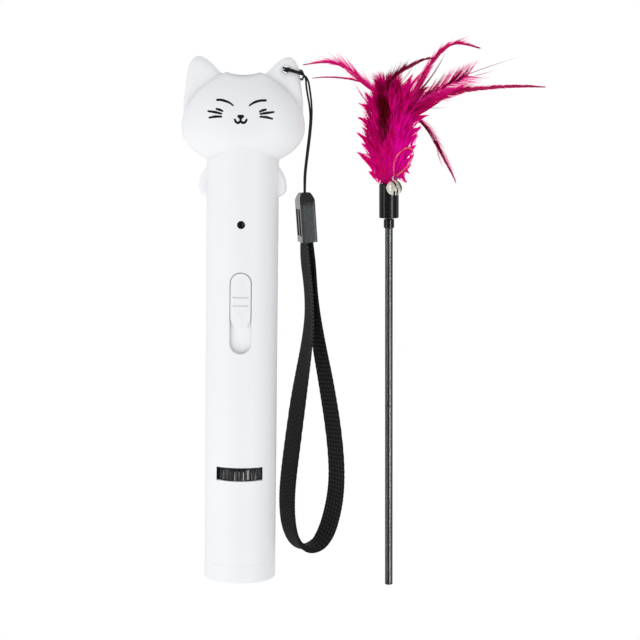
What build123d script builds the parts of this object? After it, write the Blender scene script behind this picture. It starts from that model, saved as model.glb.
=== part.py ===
from build123d import *
import copy
import math
import os

os.makedirs("parts", exist_ok=True)

# Hand-held cat laser toy with a wrist strap, and its separate feather wand.
# Everything lies on a table. Lengths are millimetres. While it is modelled, y runs along the torch
# from its light outlet (y = 0) to the cat's crown, x runs across it and z stands up from the table.
# At the end the model is moved so that its origin is the middle of its footprint.

# ---------- torch body ----------
body_radius = 14.1
shell_wall = 1.8
fit_gap = 0.1                  # between two pieces that are assembled and then stay put
run_gap = 0.05                 # radial clearance of a shaft that turns or slides
axis_z = body_radius           # the torch lies on its back

bezel_length = 7.0
bezel_edge_round = 1.0
spigot_length = 5.0
spigot_wall = 1.4

head_y = 178.3                 # where the head is widest
head_half_width = 24.0
crown_height = 22.4            # from the widest place up to the crown
chin_height = 15.1             # and down to the chin
face_depth = 16.0
nape_depth = 13.8
head_wall = 2.0
neck_y = head_y - 4.3          # the tube ends here in a dome, inside the head

ear_half_thickness = 3.6
ear_round = 2.0
ear_hole_radius = 1.4
ear_hole_bevel = 0.5
ear_hole_x = 16.4
ear_hole_y = head_y + 22.8
arm_half_thickness = 3.2
arm_round = 2.0
arm_y = 157.6

recess_radius = 6.4            # round dish in the crown
recess_floor_y = head_y + 18.7
socket_length = 11.0
socket_bore_depth = 9.5
socket_floor = 1.2
boss_wall = 1.8

# ---------- feather wand (needed early, because the socket fits its rod) ----------
rod_radius = 1.55
socket_clearance = 0.1

# ---------- light path ----------
lens_radius = 6.95
lens_seat_y = 1.6
lens_edge = 1.8
lens_dome = 1.3
outlet_radius = 5.8
outlet_flare = 1.8
lens_tube_wall = 0.8
lens_boss_wall = 1.5
lens_boss_length = 6.0

wheel_y = 43.6
wheel_radius = 9.5
wheel_offset = 5.0             # the wheel's axle lies this far in front of the torch's axis
wheel_width = 4.6
wheel_side_gap = 0.5
wheel_rib_count = 35
rib_groove_radius = 0.42
wheel_rim_wall = 1.6
wheel_web = 1.4
wheel_hub_radius = 2.2
wheel_pocket_gap = 0.35
axle_radius = 0.75
film_count = 7
film_radius = 1.7
film_thickness = 0.3
window_length = 5.3
window_half_width = 9.0
bracket_plate = 1.4
bracket_bridge = 1.5
bridge_drop = 11.2             # from the torch's axis down to the bridge's lower face
bracket_beam_radius = 1.6
detent_leaf = 0.3
detent_width = 3.0
detent_gap = 0.12

laser_radius = 3.25
laser_length = 14.0
laser_collar_wall = 1.5
laser_collar_length = 6.0
laser_mouth_radius = 1.5
collimator_radius = 2.4
collimator_thickness = 1.3
diode_radius = 2.6
diode_length = 3.5
driver_board_thickness = 0.8
laser_wire_radius = 0.4

# ---------- battery, board and what sits on it ----------
cell_radius = 7.0
cell_length = 50.0
cell_y = 70.0
cell_drop = 4.4                # the cell's axis lies this far behind the torch's axis
cell_rib = 1.4
cell_gap = 0.1
tab_thickness = 0.25
tab_width = 4.0
foam_length = 26.0
foam_width = 6.0

board_width = 17.0
board_thickness = 1.2
board_lift = 3.3               # from the torch's axis up to the board's lower face
board_y0 = 73.5
board_y1 = 149.5

screw_radius = 0.95
screw_head_radius = 2.0
screw_head_height = 1.2
screw_length = 15.0
screw_boss_radius = 2.5
screw_ys = (66.4, 156.0, head_y + 1.5)
board_screw_radius = 0.7
board_screw_head_radius = 1.4
board_screw_head_height = 0.9
board_screw_length = 5.0
board_boss_radius = 1.9
board_screw_x = 6.2
board_screw_inset = 3.0

# ---------- slide switch ----------
slot_y = 107.0
slot_length = 31.8
slot_width = 8.4
knob_gap = 0.25
knob_length = 21.2
knob_proud = 0.25
knob_groove_width = 0.45
knob_groove_depth = 0.3
knob_groove_ys = (1.2, -2.0)   # from the knob's middle
knob_arrow_y = 6.1
knob_arrow_size = 1.5
knob_arrow_height = 0.15
flange_thickness = 1.0
flange_width = 10.0
flange_overlap = 1.5
flange_top = 11.1              # above the torch's axis
rail_gap = 0.15
rail_width = 1.2
switch_length = 17.0
switch_width = 5.6
switch_height = 3.4
switch_wall = 0.4
lever_length = 2.2
lever_width = 1.8
lever_foot = 1.0
lever_gap = 0.12
fork_length = 2.0

indicator_y = 141.4
indicator_radius = 1.5
indicator_proud = 0.35
indicator_flange = 0.6
led_radius = 1.5
led_height = 3.4

port_y = 126.9
port_recess_length = 14.4
port_recess_width = 5.2
port_recess_floor = 12.95      # from the torch's axis
socket_shell_length = 9.0
socket_shell_height = 3.2
socket_shell_depth = 7.3
socket_shell_wall = 0.3

knob_width = slot_width - 2 * knob_gap
knob_travel = slot_length - knob_length - 2 * knob_gap
knob_y = slot_y + (slot_length - knob_length) / 2 - knob_gap
inner_radius = body_radius - shell_wall
wheel_z = axis_z + wheel_offset
plate_low_y = wheel_y - wheel_width / 2 - wheel_side_gap - bracket_plate
plate_high_y = wheel_y + wheel_width / 2 + wheel_side_gap
board_z = axis_z + board_lift
board_top = board_z + board_thickness
laser_y = plate_high_y + bracket_plate
cell_z = axis_z - cell_drop
switch_y = knob_y - knob_travel / 2


# ---------- small helpers ----------
def rod(radius, y0, y1, x=0.0, z=axis_z):
    return Pos(x, (y0 + y1) / 2, z) * Rot(-90, 0, 0) * Cylinder(radius, y1 - y0)


def pipe(outer, inner, y0, y1, x=0.0, z=axis_z):
    return rod(outer, y0, y1, x, z) - rod(inner, y0 - 1, y1 + 1, x, z)


def post(radius, z0, z1, x, y):
    return Pos(x, y, (z0 + z1) / 2) * Cylinder(radius, z1 - z0)


def block(x0, x1, y0, y1, z0, z1):
    return Pos((x0 + x1) / 2, (y0 + y1) / 2, (z0 + z1) / 2) * Box(abs(x1 - x0), abs(y1 - y0), abs(z1 - z0))


def stadium(length, width, z0, z1, x=0.0, y=0.0):
    """A prism with round ends, long along y, that stands up along z."""
    return Pos(x, y, z0) * extrude(SlotOverall(length, width, rotation=90), amount=z1 - z0)


def side_stadium(length, width, x0, x1, y, z):
    """A prism with round ends, long along y, that runs along x."""
    flat = Plane(origin=(x0, y, z), x_dir=(0, 1, 0), z_dir=(1, 0, 0)) * SlotOverall(length, width)
    return extrude(flat, amount=x1 - x0)


def half_space(side):
    """Everything in front of (side 1) or behind (side -1) the torch's parting plane."""
    reach = 300
    return Pos(0, 100, axis_z + side * reach / 2) * Box(reach, 2 * reach, reach)


def fuse(pieces):
    total = pieces[0]
    for piece in pieces[1:]:
        total = total + piece
    return total


# ---------- clamshell ----------
def quarter_ellipsoid(half_width, half_length, half_depth, end, side):
    ball = Rot(0, 90, 0) * Sphere(1)
    quarter = ball & Pos(0, end * 0.6, side * 0.6) * Box(2.4, 1.2, 1.2)
    return scale(quarter, by=(half_width, half_length, half_depth))


def head_half(side, shrink):
    width = head_half_width - shrink
    depth = (face_depth if side > 0 else nape_depth) - shrink
    crown = quarter_ellipsoid(width, crown_height - shrink, depth, 1, side)
    chin = quarter_ellipsoid(width, chin_height - shrink, depth, -1, side)
    return Pos(0, head_y, axis_z) * (crown + chin)


def tube_half(radius, y0, side):
    tip = (0, neck_y + radius)
    bend = (radius * math.sin(math.radians(45)), neck_y + radius * math.sin(math.radians(45)))
    profile = Polyline(tip, (0, y0), (radius, y0), (radius, neck_y))
    profile = profile + ThreePointArc((radius, neck_y), bend, tip)
    axis = Axis((0, 0, 0), (0, -side, 0))
    return Pos(0, 0, axis_z) * revolve(make_face(profile), axis, 180)


def ear_half(hand, side):
    rim = [(8.0, 20.6), (11.4, 23.9), (14.6, 26.6), (17.9, 27.6), (20.6, 25.1)]
    rim += [(22.2, 17.9), (23.1, 11.2), (23.2, 5.7)]
    rim = [(hand * x, head_y + y) for x, y in rim]
    root = Polyline(rim[-1], (hand * 14.0, head_y + 7.7), rim[0])
    slab = extrude(Pos(0, 0, axis_z) * make_face(Spline(*rim) + root), amount=side * ear_half_thickness)
    outer_z = axis_z + side * ear_half_thickness
    rim_edges = [e for e in slab.edges().filter_by(GeomType.BSPLINE) if abs(e.center().Z - outer_z) < 0.01]
    return fillet(rim_edges, ear_round)


def arm_half(hand, side):
    rim = [(12.4, 7.2), (14.5, 5.2), (16.2, 2.2), (17.1, -1.2), (16.7, -4.2), (14.8, -5.7), (12.4, -5.9)]
    rim = [(hand * x, arm_y + y) for x, y in rim]
    face = make_face(Spline(*rim) + Line(rim[-1], rim[0]))
    slab = extrude(Pos(0, 0, axis_z) * face, amount=side * arm_half_thickness)
    outer_z = axis_z + side * arm_half_thickness
    rim_edges = [e for e in slab.edges().filter_by(GeomType.BSPLINE) if abs(e.center().Z - outer_z) < 0.01]
    return fillet(rim_edges, arm_round)


def port_cut():
    z = board_z - socket_shell_height / 2
    outside = body_radius + 5
    recess = side_stadium(port_recess_length, port_recess_width, port_recess_floor, outside, port_y, z)
    mouth = side_stadium(
        socket_shell_length + 2 * fit_gap,
        socket_shell_height + 2 * fit_gap,
        port_recess_floor - 6,
        port_recess_floor + 1,
        port_y,
        z,
    )
    return recess + mouth


def crown_cut():
    boss_floor_y = recess_floor_y - socket_length
    return rod(recess_radius, boss_floor_y, head_y + crown_height + 5)


def shell_blank(side):
    outside = fuse([head_half(side, 0), tube_half(body_radius, bezel_length, side)])
    outside = fuse([outside] + [ear_half(hand, side) for hand in (1, -1)])
    outside = fuse([outside] + [arm_half(hand, side) for hand in (1, -1)])
    hollow = head_half(side, head_wall) + tube_half(inner_radius, bezel_length - 1, side)
    boss_floor_y = recess_floor_y - socket_length - socket_floor
    boss = rod(recess_radius + boss_wall, boss_floor_y, head_y + crown_height) & half_space(side)
    boss = boss & head_half(side, head_wall / 2)
    shell = (outside - hollow) + boss - crown_cut()
    hole = post(ear_hole_radius, 0, 2 * axis_z, ear_hole_x, ear_hole_y)
    mouth = Cone(ear_hole_radius + ear_hole_bevel, ear_hole_radius, ear_hole_bevel)
    mouth_z = ear_half_thickness - ear_hole_bevel / 2
    hole = hole + Pos(ear_hole_x, ear_hole_y, axis_z - mouth_z) * mouth
    hole = hole + Pos(ear_hole_x, ear_hole_y, axis_z + mouth_z) * Rot(180, 0, 0) * mouth
    pocket = rod(
        wheel_radius + wheel_pocket_gap,
        wheel_y - wheel_width / 2 - wheel_pocket_gap,
        wheel_y + wheel_width / 2 + wheel_pocket_gap,
        0,
        wheel_z,
    )
    return shell - hole - port_cut() - pocket


def rail_pair():
    y0 = knob_y - knob_length / 2 - 2 * flange_overlap - 2 * knob_travel
    y1 = knob_y + knob_length / 2 + 2 * flange_overlap + knob_travel
    x0 = flange_width / 2 + rail_gap
    z0 = axis_z + flange_top - flange_thickness
    rails = [block(hand * x0, hand * (x0 + rail_width), y0, y1, z0, axis_z + body_radius) for hand in (1, -1)]
    return fuse(rails)


def board_screw_places():
    low = board_y0 + board_screw_inset
    high = board_y1 - board_screw_inset
    return ((-board_screw_x, low), (board_screw_x, high))


def front_shell():
    shell = shell_blank(1)
    skin = tube_half(body_radius - shell_wall / 2, bezel_length, 1) + head_half(1, head_wall / 2)
    bosses = [post(board_boss_radius, board_top, 2 * axis_z, x, y) for x, y in board_screw_places()]
    bosses += [post(screw_boss_radius, axis_z, 2 * axis_z + 5, 0, y) for y in screw_ys]
    shell = shell + (fuse(bosses + [rail_pair()]) & skin)
    window = block(
        -window_half_width,
        window_half_width,
        wheel_y - window_length / 2,
        wheel_y + window_length / 2,
        wheel_z,
        2 * axis_z + 5,
    )
    slot = stadium(slot_length, slot_width, axis_z + inner_radius / 2 + 2, 2 * axis_z + 5, 0, slot_y)
    lens_hole_radius = indicator_radius + fit_gap / 2
    lens_hole = post(lens_hole_radius, axis_z + inner_radius / 2, 2 * axis_z + 5, 0, indicator_y)
    pilots = [post(screw_radius, axis_z - 1, axis_z + screw_length - 4, 0, y) for y in screw_ys]
    pilot_end = board_z + board_screw_length
    pilots += [post(board_screw_radius, board_top - 1, pilot_end, x, y) for x, y in board_screw_places()]
    return shell - fuse([window, slot, lens_hole] + pilots)


def cell_saddles():
    saddles = []
    for y in (cell_y + 8, cell_y + cell_length - 8):
        plate = rod(inner_radius + shell_wall / 2, y - cell_rib / 2, y + cell_rib / 2)
        plate = plate & block(-body_radius, body_radius, y - 5, y + 5, -5, cell_z)
        saddles.append(plate - rod(cell_radius + cell_gap, y - 5, y + 5, 0, cell_z))
    return fuse(saddles)


def bracket_ledges():
    ledges = []
    for y0 in (plate_low_y - bracket_plate - fit_gap, plate_high_y + bracket_plate + fit_gap):
        ring = pipe(inner_radius + shell_wall / 2, inner_radius - 1.2, y0, y0 + bracket_plate)
        ledges.append(ring & half_space(-1))
    return fuse(ledges)


def rear_shell():
    shell = shell_blank(-1)
    skin = tube_half(body_radius - shell_wall / 2, bezel_length, -1) + head_half(-1, head_wall / 2)
    bosses = [post(screw_boss_radius, -5, axis_z, 0, y) for y in screw_ys]
    shell = shell + (fuse(bosses) & skin) + cell_saddles() + bracket_ledges()
    cuts = [post(screw_head_radius + 2 * fit_gap, -5, screw_seat_z(), 0, y) for y in screw_ys]
    cuts += [post(screw_radius + fit_gap, -5, axis_z + 1, 0, y) for y in screw_ys]
    return shell - fuse(cuts)


def screw_seat_z():
    return shell_wall + screw_head_height


def end_bezel():
    ring = rod(body_radius, 0, bezel_length)
    outer_edge = [e for e in ring.edges().filter_by(GeomType.CIRCLE) if abs(e.center().Y) < 0.01]
    ring = fillet(outer_edge, bezel_edge_round)
    spigot_radius = inner_radius - fit_gap
    ring = ring + rod(spigot_radius, bezel_length, bezel_length + spigot_length)
    bore = lens_radius + run_gap
    boss = bore + lens_boss_wall
    hollow = pipe(spigot_radius - spigot_wall, boss, lens_seat_y + 1, bezel_length + spigot_length + 1)
    above = rod(spigot_radius - 0.5, lens_seat_y + lens_boss_length, bezel_length + spigot_length + 1)
    flare = Cone(outlet_radius + outlet_flare, outlet_radius, lens_seat_y)
    flare = Pos(0, lens_seat_y / 2, axis_z) * Rot(-90, 0, 0) * flare
    above = above & rod(spigot_radius - spigot_wall, 0, bezel_length + spigot_length + 1)
    return ring - hollow - above - rod(bore, lens_seat_y, bezel_length + spigot_length + 1) - flare


def dome(radius, height, y, z=axis_z, x=0.0):
    """A spherical cap that stands on the plane at y and bulges towards +y."""
    ball_radius = (radius**2 + height**2) / (2 * height)
    ball = Pos(x, y + height - ball_radius, z) * Sphere(ball_radius)
    return ball & rod(radius, y, y + height, x, z)


def projector_lens():
    seat_top = lens_seat_y + lens_edge
    rim = rod(lens_radius, lens_seat_y, seat_top)
    return rim + dome(lens_radius - lens_tube_wall - 0.2, lens_dome, seat_top)


def lens_tube():
    return pipe(lens_radius, lens_radius - lens_tube_wall, lens_seat_y + lens_edge, plate_low_y)


# ---------- pattern wheel ----------
def film_places():
    step = 360 / film_count
    angles = [-90 + step * i for i in range(film_count)]
    return [
        (wheel_offset * math.cos(math.radians(a)), wheel_z + wheel_offset * math.sin(math.radians(a)))
        for a in angles
    ]


def pattern_wheel():
    y0 = wheel_y - wheel_width / 2
    y1 = wheel_y + wheel_width / 2
    disc = rod(wheel_radius, y0, y1, 0, wheel_z)
    disc = chamfer(disc.edges().filter_by(GeomType.CIRCLE), 0.4)
    groove_z = wheel_radius + rib_groove_radius * 0.25
    grooves = []
    for i in range(wheel_rib_count):
        angle = math.radians(360 / wheel_rib_count * (i + 0.5))
        x = groove_z * math.sin(angle)
        z = wheel_z + groove_z * math.cos(angle)
        grooves.append(rod(rib_groove_radius, y0 - 1, y1 + 1, x, z))
    disc = disc - grooves
    web_y0 = wheel_y - wheel_web / 2
    web_y1 = wheel_y + wheel_web / 2
    dish = wheel_radius - rib_groove_radius - wheel_rim_wall
    for a, b in ((y0 - 1, web_y0), (web_y1, y1 + 1)):
        disc = disc - pipe(dish, wheel_hub_radius, a, b, 0, wheel_z)
    disc = disc - [rod(film_radius, y0, y1, x, z) for x, z in film_places()]
    return disc - rod(axle_radius + run_gap, y0 - 1, y1 + 1, 0, wheel_z)


def pattern_films():
    y0 = wheel_y - film_thickness / 2
    y1 = wheel_y + film_thickness / 2
    return Compound(children=[rod(film_radius, y0, y1, x, z) for x, z in film_places()])


def wheel_axle():
    return rod(axle_radius, plate_low_y, plate_high_y + bracket_plate, 0, wheel_z)


def wheel_bracket():
    plate_radius = inner_radius - fit_gap
    low_end = plate_low_y + bracket_plate
    high_end = plate_high_y + bracket_plate
    low = rod(plate_radius, plate_low_y, low_end)
    low = low - rod(lens_radius - lens_tube_wall, plate_low_y - 1, low_end + 1)
    low = low + rod(axle_radius + 1.2, plate_low_y, low_end, 0, wheel_z)
    spoke = block(-1.2, 1.2, plate_low_y, low_end, wheel_z, wheel_z + 5)
    high = rod(plate_radius, plate_high_y, high_end)
    collar_outer = laser_radius + fit_gap + laser_collar_wall
    collar = pipe(collar_outer, laser_radius + fit_gap / 2, high_end, high_end + laser_collar_length)
    bridge_z = axis_z - bridge_drop
    bridge = block(-6.0, 6.0, low_end, plate_high_y, bridge_z, bridge_z + bracket_bridge)
    bridge = bridge & rod(plate_radius, plate_low_y, high_end)
    beam = rod(bracket_beam_radius, plate_high_y - 1, high_end + 1)
    pin = rod(axle_radius, plate_low_y - 1, high_end + 1, 0, wheel_z)
    flat_top = block(-20, 20, plate_low_y - 1, plate_high_y + 10, axis_z + 9.0, axis_z + 20)
    return fuse([low, spoke, high, collar, bridge]) - beam - pin - flat_top


def detent_spring():
    """A folded leaf: it lies on the bridge, climbs and holds its nose just under the wheel's ribs."""
    half = detent_leaf / 2
    foot_z = axis_z - bridge_drop + bracket_bridge + half
    nose_z = wheel_z - wheel_radius - detent_gap - half
    line = Polyline((-4.6, foot_z), (4.2, foot_z), (0.8, nose_z), (-0.8, nose_z), (-2.4, nose_z - 1.0))
    leaf = extrude(Plane.XZ * trace(line, line_width=detent_leaf), amount=detent_width)
    return Pos(0, wheel_y + detent_width / 2, 0) * leaf


# ---------- laser ----------
def laser_module():
    laser_end = laser_y + laser_length
    barrel = rod(laser_radius, laser_y, laser_end)
    mouth = rod(laser_mouth_radius, laser_y - 1, laser_y + 1)
    lens_room = rod(collimator_radius + fit_gap / 2, laser_y + 0.8, laser_end - diode_length)
    diode_room = rod(diode_radius + fit_gap / 2, laser_end - diode_length, laser_end + 1)
    return barrel - mouth - lens_room - diode_room


def collimator_lens():
    y0 = laser_y + 0.8
    y1 = y0 + collimator_thickness
    return rod(collimator_radius, y0, y1) + dome(collimator_radius, 0.6, y1)


def laser_diode():
    y0 = laser_y + laser_length - diode_length
    flange = rod(diode_radius, y0, y0 + 1.2)
    can = rod(diode_radius - 0.9, y0 - 1.8, y0)
    legs = [rod(0.25, y0 + 1.2, laser_y + laser_length, x, axis_z) for x in (-1.0, 1.0)]
    return fuse([flange, can] + legs)


def laser_driver_board():
    y0 = laser_y + laser_length
    y1 = y0 + driver_board_thickness
    chip = block(-1.0, 1.0, y1, y1 + 0.6, axis_z - 1.6, axis_z - 0.4)
    return rod(laser_radius, y0, y1) + chip


def wire(name, points, radius):
    """A round tube of straight runs joined by arcs that are as large as the runs allow."""
    vectors = [Vector(*p) for p in points]
    radii = []
    for a, b, c in zip(vectors, vectors[1:], vectors[2:]):
        turn = math.radians((b - a).get_angle(c - b))
        radii.append(0.45 * min((b - a).length, (c - b).length) / math.tan(turn / 2))
    path = FilletPolyline(*vectors, radius=radii)
    start = Plane(origin=vectors[0], z_dir=vectors[1] - vectors[0])
    tube = sweep(start * Circle(radius), path=path)
    filled = tube.volume / (path.length * math.pi * radius**2)
    bends = f"bends {min(radii):.2f} to {max(radii):.2f}"
    print(f"{name}: length {path.length:.1f}, {bends}, filled {filled:.3f}")
    return tube


def laser_wire(hand):
    y0 = laser_y + laser_length + driver_board_thickness
    points = [
        (hand * 2.0, y0, axis_z + 0.6),
        (hand * 2.0, y0 + 1.2, axis_z + 0.6),
        (hand * 3.6, y0 + 3.2, axis_z + 0.9),
        (hand * 4.4, y0 + 6.5, axis_z + 1.6),
        (hand * 4.4, y0 + 10.0, axis_z + 2.0),
        (hand * 4.4, board_y0 + 2.6, axis_z + 2.2),
        (hand * 4.4, board_y0 + 2.6, board_z),
    ]
    return wire("laser_wire", points, laser_wire_radius)


# ---------- battery and board ----------
def battery_cell():
    can_end = cell_y + cell_length - 1.0
    can = rod(cell_radius, cell_y, can_end, 0, cell_z)
    can = fillet(can.edges().filter_by(GeomType.CIRCLE), 0.5)
    return can + rod(2.6, can_end, can_end + 1.0, 0, cell_z)


def battery_tabs():
    half = tab_width / 2
    y0 = cell_y - tab_thickness
    riser = block(-half, half, y0, cell_y, cell_z - 2, board_z)
    reach = block(-half, half, y0, board_y0 + 1.5, board_z - tab_thickness, board_z)
    y1 = cell_y + cell_length
    high = block(-half, half, y1, y1 + tab_thickness, cell_z - 2, board_z)
    return Compound(children=[riser + reach, high])


def battery_foam():
    y0 = cell_y + 14
    pad = block(-foam_width / 2, foam_width / 2, y0, y0 + foam_length, cell_z, board_z)
    return pad - rod(cell_radius + 0.05, cell_y, cell_y + cell_length, 0, cell_z)


def main_circuit_board():
    board = block(-board_width / 2, board_width / 2, board_y0, board_y1, board_z, board_top)
    board = fillet(board.edges().filter_by(Axis.Z), 1.0)
    hole = board_screw_radius + fit_gap
    return board - [post(hole, board_z - 1, board_top + 1, x, y) for x, y in board_screw_places()]


def on_board(x, y, width, length, height):
    """A block that stands on the board with its middle at x, y."""
    return block(x - width / 2, x + width / 2, y - length / 2, y + length / 2, board_top, board_top + height)


def control_chips():
    charger = on_board(-5.4, port_y + 4.0, 3.9, 4.9, 1.4)
    regulator = on_board(5.2, slot_y - 18.0, 3.0, 3.0, 1.0)
    return Compound(children=[charger, regulator])


def board_passives():
    row = [(-5.6 + 1.9 * i, board_y0 + 8.0) for i in range(5)]
    column = [(4.6, port_y - 5.0 + 2.6 * i) for i in range(4)]
    return Compound(children=[on_board(x, y, 0.8, 1.6, 0.6) for x, y in row + column])


def shell_screws():
    seat = screw_seat_z()
    screws = []
    for y in screw_ys:
        head = post(screw_head_radius, seat - screw_head_height, seat, 0, y)
        shank = post(screw_radius, seat, seat + screw_length, 0, y)
        cross = block(-1.1, 1.1, y - 0.2, y + 0.2, 0, seat - 0.6)
        cross = cross + block(-0.2, 0.2, y - 1.1, y + 1.1, 0, seat - 0.6)
        screws.append(head + shank - cross)
    return Compound(children=screws)


def board_screws():
    screws = []
    for x, y in board_screw_places():
        head = post(board_screw_head_radius, board_z - board_screw_head_height, board_z, x, y)
        shank = post(board_screw_radius, board_z, board_z + board_screw_length - 0.2, x, y)
        screws.append(head + shank)
    return Compound(children=screws)


def charging_socket():
    z = board_z - socket_shell_height / 2
    x1 = port_recess_floor
    x0 = x1 - socket_shell_depth
    shell = side_stadium(socket_shell_length, socket_shell_height, x0, x1, port_y, z)
    inner_length = socket_shell_length - 2 * socket_shell_wall
    inner_height = socket_shell_height - 2 * socket_shell_wall
    inner = side_stadium(inner_length, inner_height, x0 + 1.0, x1 + 1, port_y, z)
    tongue = block(x0, x1 - 0.8, port_y - 3.3, port_y + 3.3, z - 0.35, z + 0.35)
    return shell - inner + tongue


# ---------- slide switch ----------
def slide_switch_body():
    z1 = board_top + switch_height
    x = switch_width / 2
    y = switch_length / 2
    wall = switch_wall
    can = block(-x, x, switch_y - y, switch_y + y, board_top, z1)
    room = block(wall - x, x - wall, switch_y - y + wall, switch_y + y - wall, board_top + wall, z1 - wall)
    reach = knob_travel / 2 + lever_length / 2 + lever_gap
    slot_x = lever_width / 2 + lever_gap
    top_slot = block(-slot_x, slot_x, switch_y - reach, switch_y + reach, z1 - 2 * wall, z1 + 1)
    return can - room - top_slot


def slide_switch_lever():
    z0 = board_top + switch_wall + lever_gap
    z1 = axis_z + flange_top - flange_thickness - lever_gap
    x = lever_width / 2
    y = lever_length / 2
    stem = block(-x, x, knob_y - y, knob_y + y, z0, z1)
    foot_x = switch_width / 2 - switch_wall - lever_gap
    foot = block(-foot_x, foot_x, knob_y - y - 0.6, knob_y + y + 0.6, z0, z0 + lever_foot)
    return stem + foot


def arrow_prism(y, point):
    """A low triangle on the knob's face; point 1 aims at the head and -1 at the light outlet."""
    s = knob_arrow_size
    left = (-s, y - point * s * 0.7)
    right = (s, y - point * s * 0.7)
    triangle = make_face(Polyline(left, right, (0, y + point * s * 1.1), left))
    return extrude(Pos(0, 0, axis_z + inner_radius) * triangle, amount=10)


def slide_knob():
    face_radius = body_radius + knob_proud
    flange_z1 = axis_z + flange_top
    flange_z0 = flange_z1 - flange_thickness
    button = stadium(knob_length, knob_width, flange_z1 - 0.5, 2 * axis_z + 5, 0, knob_y)
    button = button & rod(face_radius, knob_y - knob_length, knob_y + knob_length)
    arrows = arrow_prism(knob_y + knob_arrow_y, 1) + arrow_prism(knob_y - knob_arrow_y, -1)
    arrows = arrows & rod(face_radius + knob_arrow_height, knob_y - knob_length, knob_y + knob_length)
    core = rod(face_radius - knob_groove_depth, knob_y - knob_length, knob_y + knob_length)
    groove_x = knob_width / 2 - 1
    grooves = []
    for offset in knob_groove_ys:
        y0 = knob_y + offset - knob_groove_width / 2
        y1 = knob_y + offset + knob_groove_width / 2
        grooves.append(block(-groove_x, groove_x, y0, y1, axis_z, 3 * axis_z) - core)
    reach = knob_length / 2 + knob_travel + flange_overlap
    flange = block(-flange_width / 2, flange_width / 2, knob_y - reach, knob_y + reach, flange_z0, flange_z1)
    x0 = lever_width / 2 + run_gap
    y0 = knob_y - lever_length / 2
    y1 = knob_y + lever_length / 2
    z0 = flange_z0 - fork_length * 0.8
    z1 = flange_z1 - flange_thickness / 2
    forks = [block(hand * x0, hand * (x0 + 0.8), y0, y1, z0, z1) for hand in (1, -1)]
    return fuse([button + arrows - grooves, flange] + forks)


def indicator_lens():
    top = axis_z + body_radius - 0.3
    stem = post(indicator_radius, board_top + led_height + 0.2, top, 0, indicator_y)
    cap_height = indicator_proud + 0.3
    ball_radius = (indicator_radius**2 + cap_height**2) / (2 * cap_height)
    cap = Pos(0, indicator_y, top + cap_height - ball_radius) * Sphere(ball_radius)
    cap = cap & post(indicator_radius, top, top + cap_height, 0, indicator_y)
    flange_z = axis_z + inner_radius - 0.7
    flange = post(indicator_radius + indicator_flange, flange_z - 0.8, flange_z, 0, indicator_y)
    return stem + cap + flange


def indicator_led():
    shoulder = board_top + led_height - led_radius
    base = post(led_radius + 0.2, board_top, board_top + 0.8, 0, indicator_y)
    body = post(led_radius, board_top, shoulder, 0, indicator_y)
    tip = Pos(0, indicator_y, shoulder) * Sphere(led_radius)
    tip = tip & post(led_radius, shoulder, shoulder + led_radius, 0, indicator_y)
    return base + body + tip


def wand_socket():
    y0 = recess_floor_y - socket_length
    plug = rod(recess_radius - fit_gap, y0, recess_floor_y)
    bore_radius = rod_radius + socket_clearance
    bore = rod(bore_radius, recess_floor_y - socket_bore_depth, recess_floor_y + 1)
    mouth = Cone(bore_radius, bore_radius + 0.6, 0.6)
    return plug - bore - Pos(0, recess_floor_y - 0.3, axis_z) * Rot(-90, 0, 0) * mouth


# ---------- wrist strap ----------
cord_radius = 0.38
cord_points = [
    (23.7, 151.4, 6.6),
    (23.95, 155.0, 6.6),
    (24.0, 160.0, 6.6),
    (24.9, 167.5, 7.0),
    (25.6, 176.5, 7.9),
    (26.0, 184.5, 9.2),
    (25.7, 190.0, 10.6),
    (25.1, 194.0, 12.4),
    (24.9, 197.2, 15.4),
    (23.2, 199.5, 18.4),
    (20.4, 200.6, 18.75),
    (17.6, 201.6, 18.5),
    (16.1, 201.9, 16.8),
    (15.9, 201.9, 13.9),
    (16.1, 201.8, 11.0),
    (17.4, 201.9, 9.4),
    (20.0, 202.0, 9.1),
    (22.2, 202.4, 10.4),
    (22.6, 202.6, 13.6),
    (22.5, 202.3, 17.3),
    (22.4, 200.9, 19.6),
    (22.5, 199.0, 20.2),
    (22.8, 197.2, 18.9),
    (23.4, 195.9, 16.4),
    (23.6, 195.5, 13.3),
    (22.9, 196.3, 10.2),
    (20.8, 198.2, 8.9),
    (18.4, 199.7, 9.1),
    (17.0, 200.5, 10.8),
    (16.8, 200.8, 13.9),
    (16.9, 200.7, 16.8),
    (18.2, 200.3, 18.4),
    (20.9, 199.4, 18.75),
    (23.7, 198.2, 18.6),
    (25.8, 196.0, 15.8),
    (26.3, 192.6, 12.7),
    (26.9, 188.4, 10.6),
    (26.9, 183.0, 9.2),
    (26.5, 175.5, 7.9),
    (25.8, 167.0, 7.0),
    (25.1, 160.0, 6.6),
    (24.95, 155.0, 6.6),
    (24.65, 151.4, 6.6),
]

clip_length = 19.4
clip_thickness = 6.1
clip_width = 12.4
clip_wall = 1.0
clip_taper = 3.6
clip_crown_half = 1.9          # half thickness of the rounded end that the cord leaves from
clip_crown_length = 5.4
clip_round = 1.0
clip_yaw = 4.5
clip_lean = 11.0
clip_x = 24.8
clip_y = 143.3
clip_lift = 0.1
clip_slot_length = 10.6
clip_slot_height = 3.6
clip_slot_offset = 2.5
clip_slot_y = -1.9
clip_pin_radius = 0.8
clip_pin_inset = 5.0           # from the cord's end of the clip to the pin
clip_z = (
    clip_width / 2 * math.cos(math.radians(clip_lean))
    + clip_thickness / 2 * math.sin(math.radians(clip_lean))
    + clip_lift
)

web_thickness = 1.0
web_width = 10.0
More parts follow.
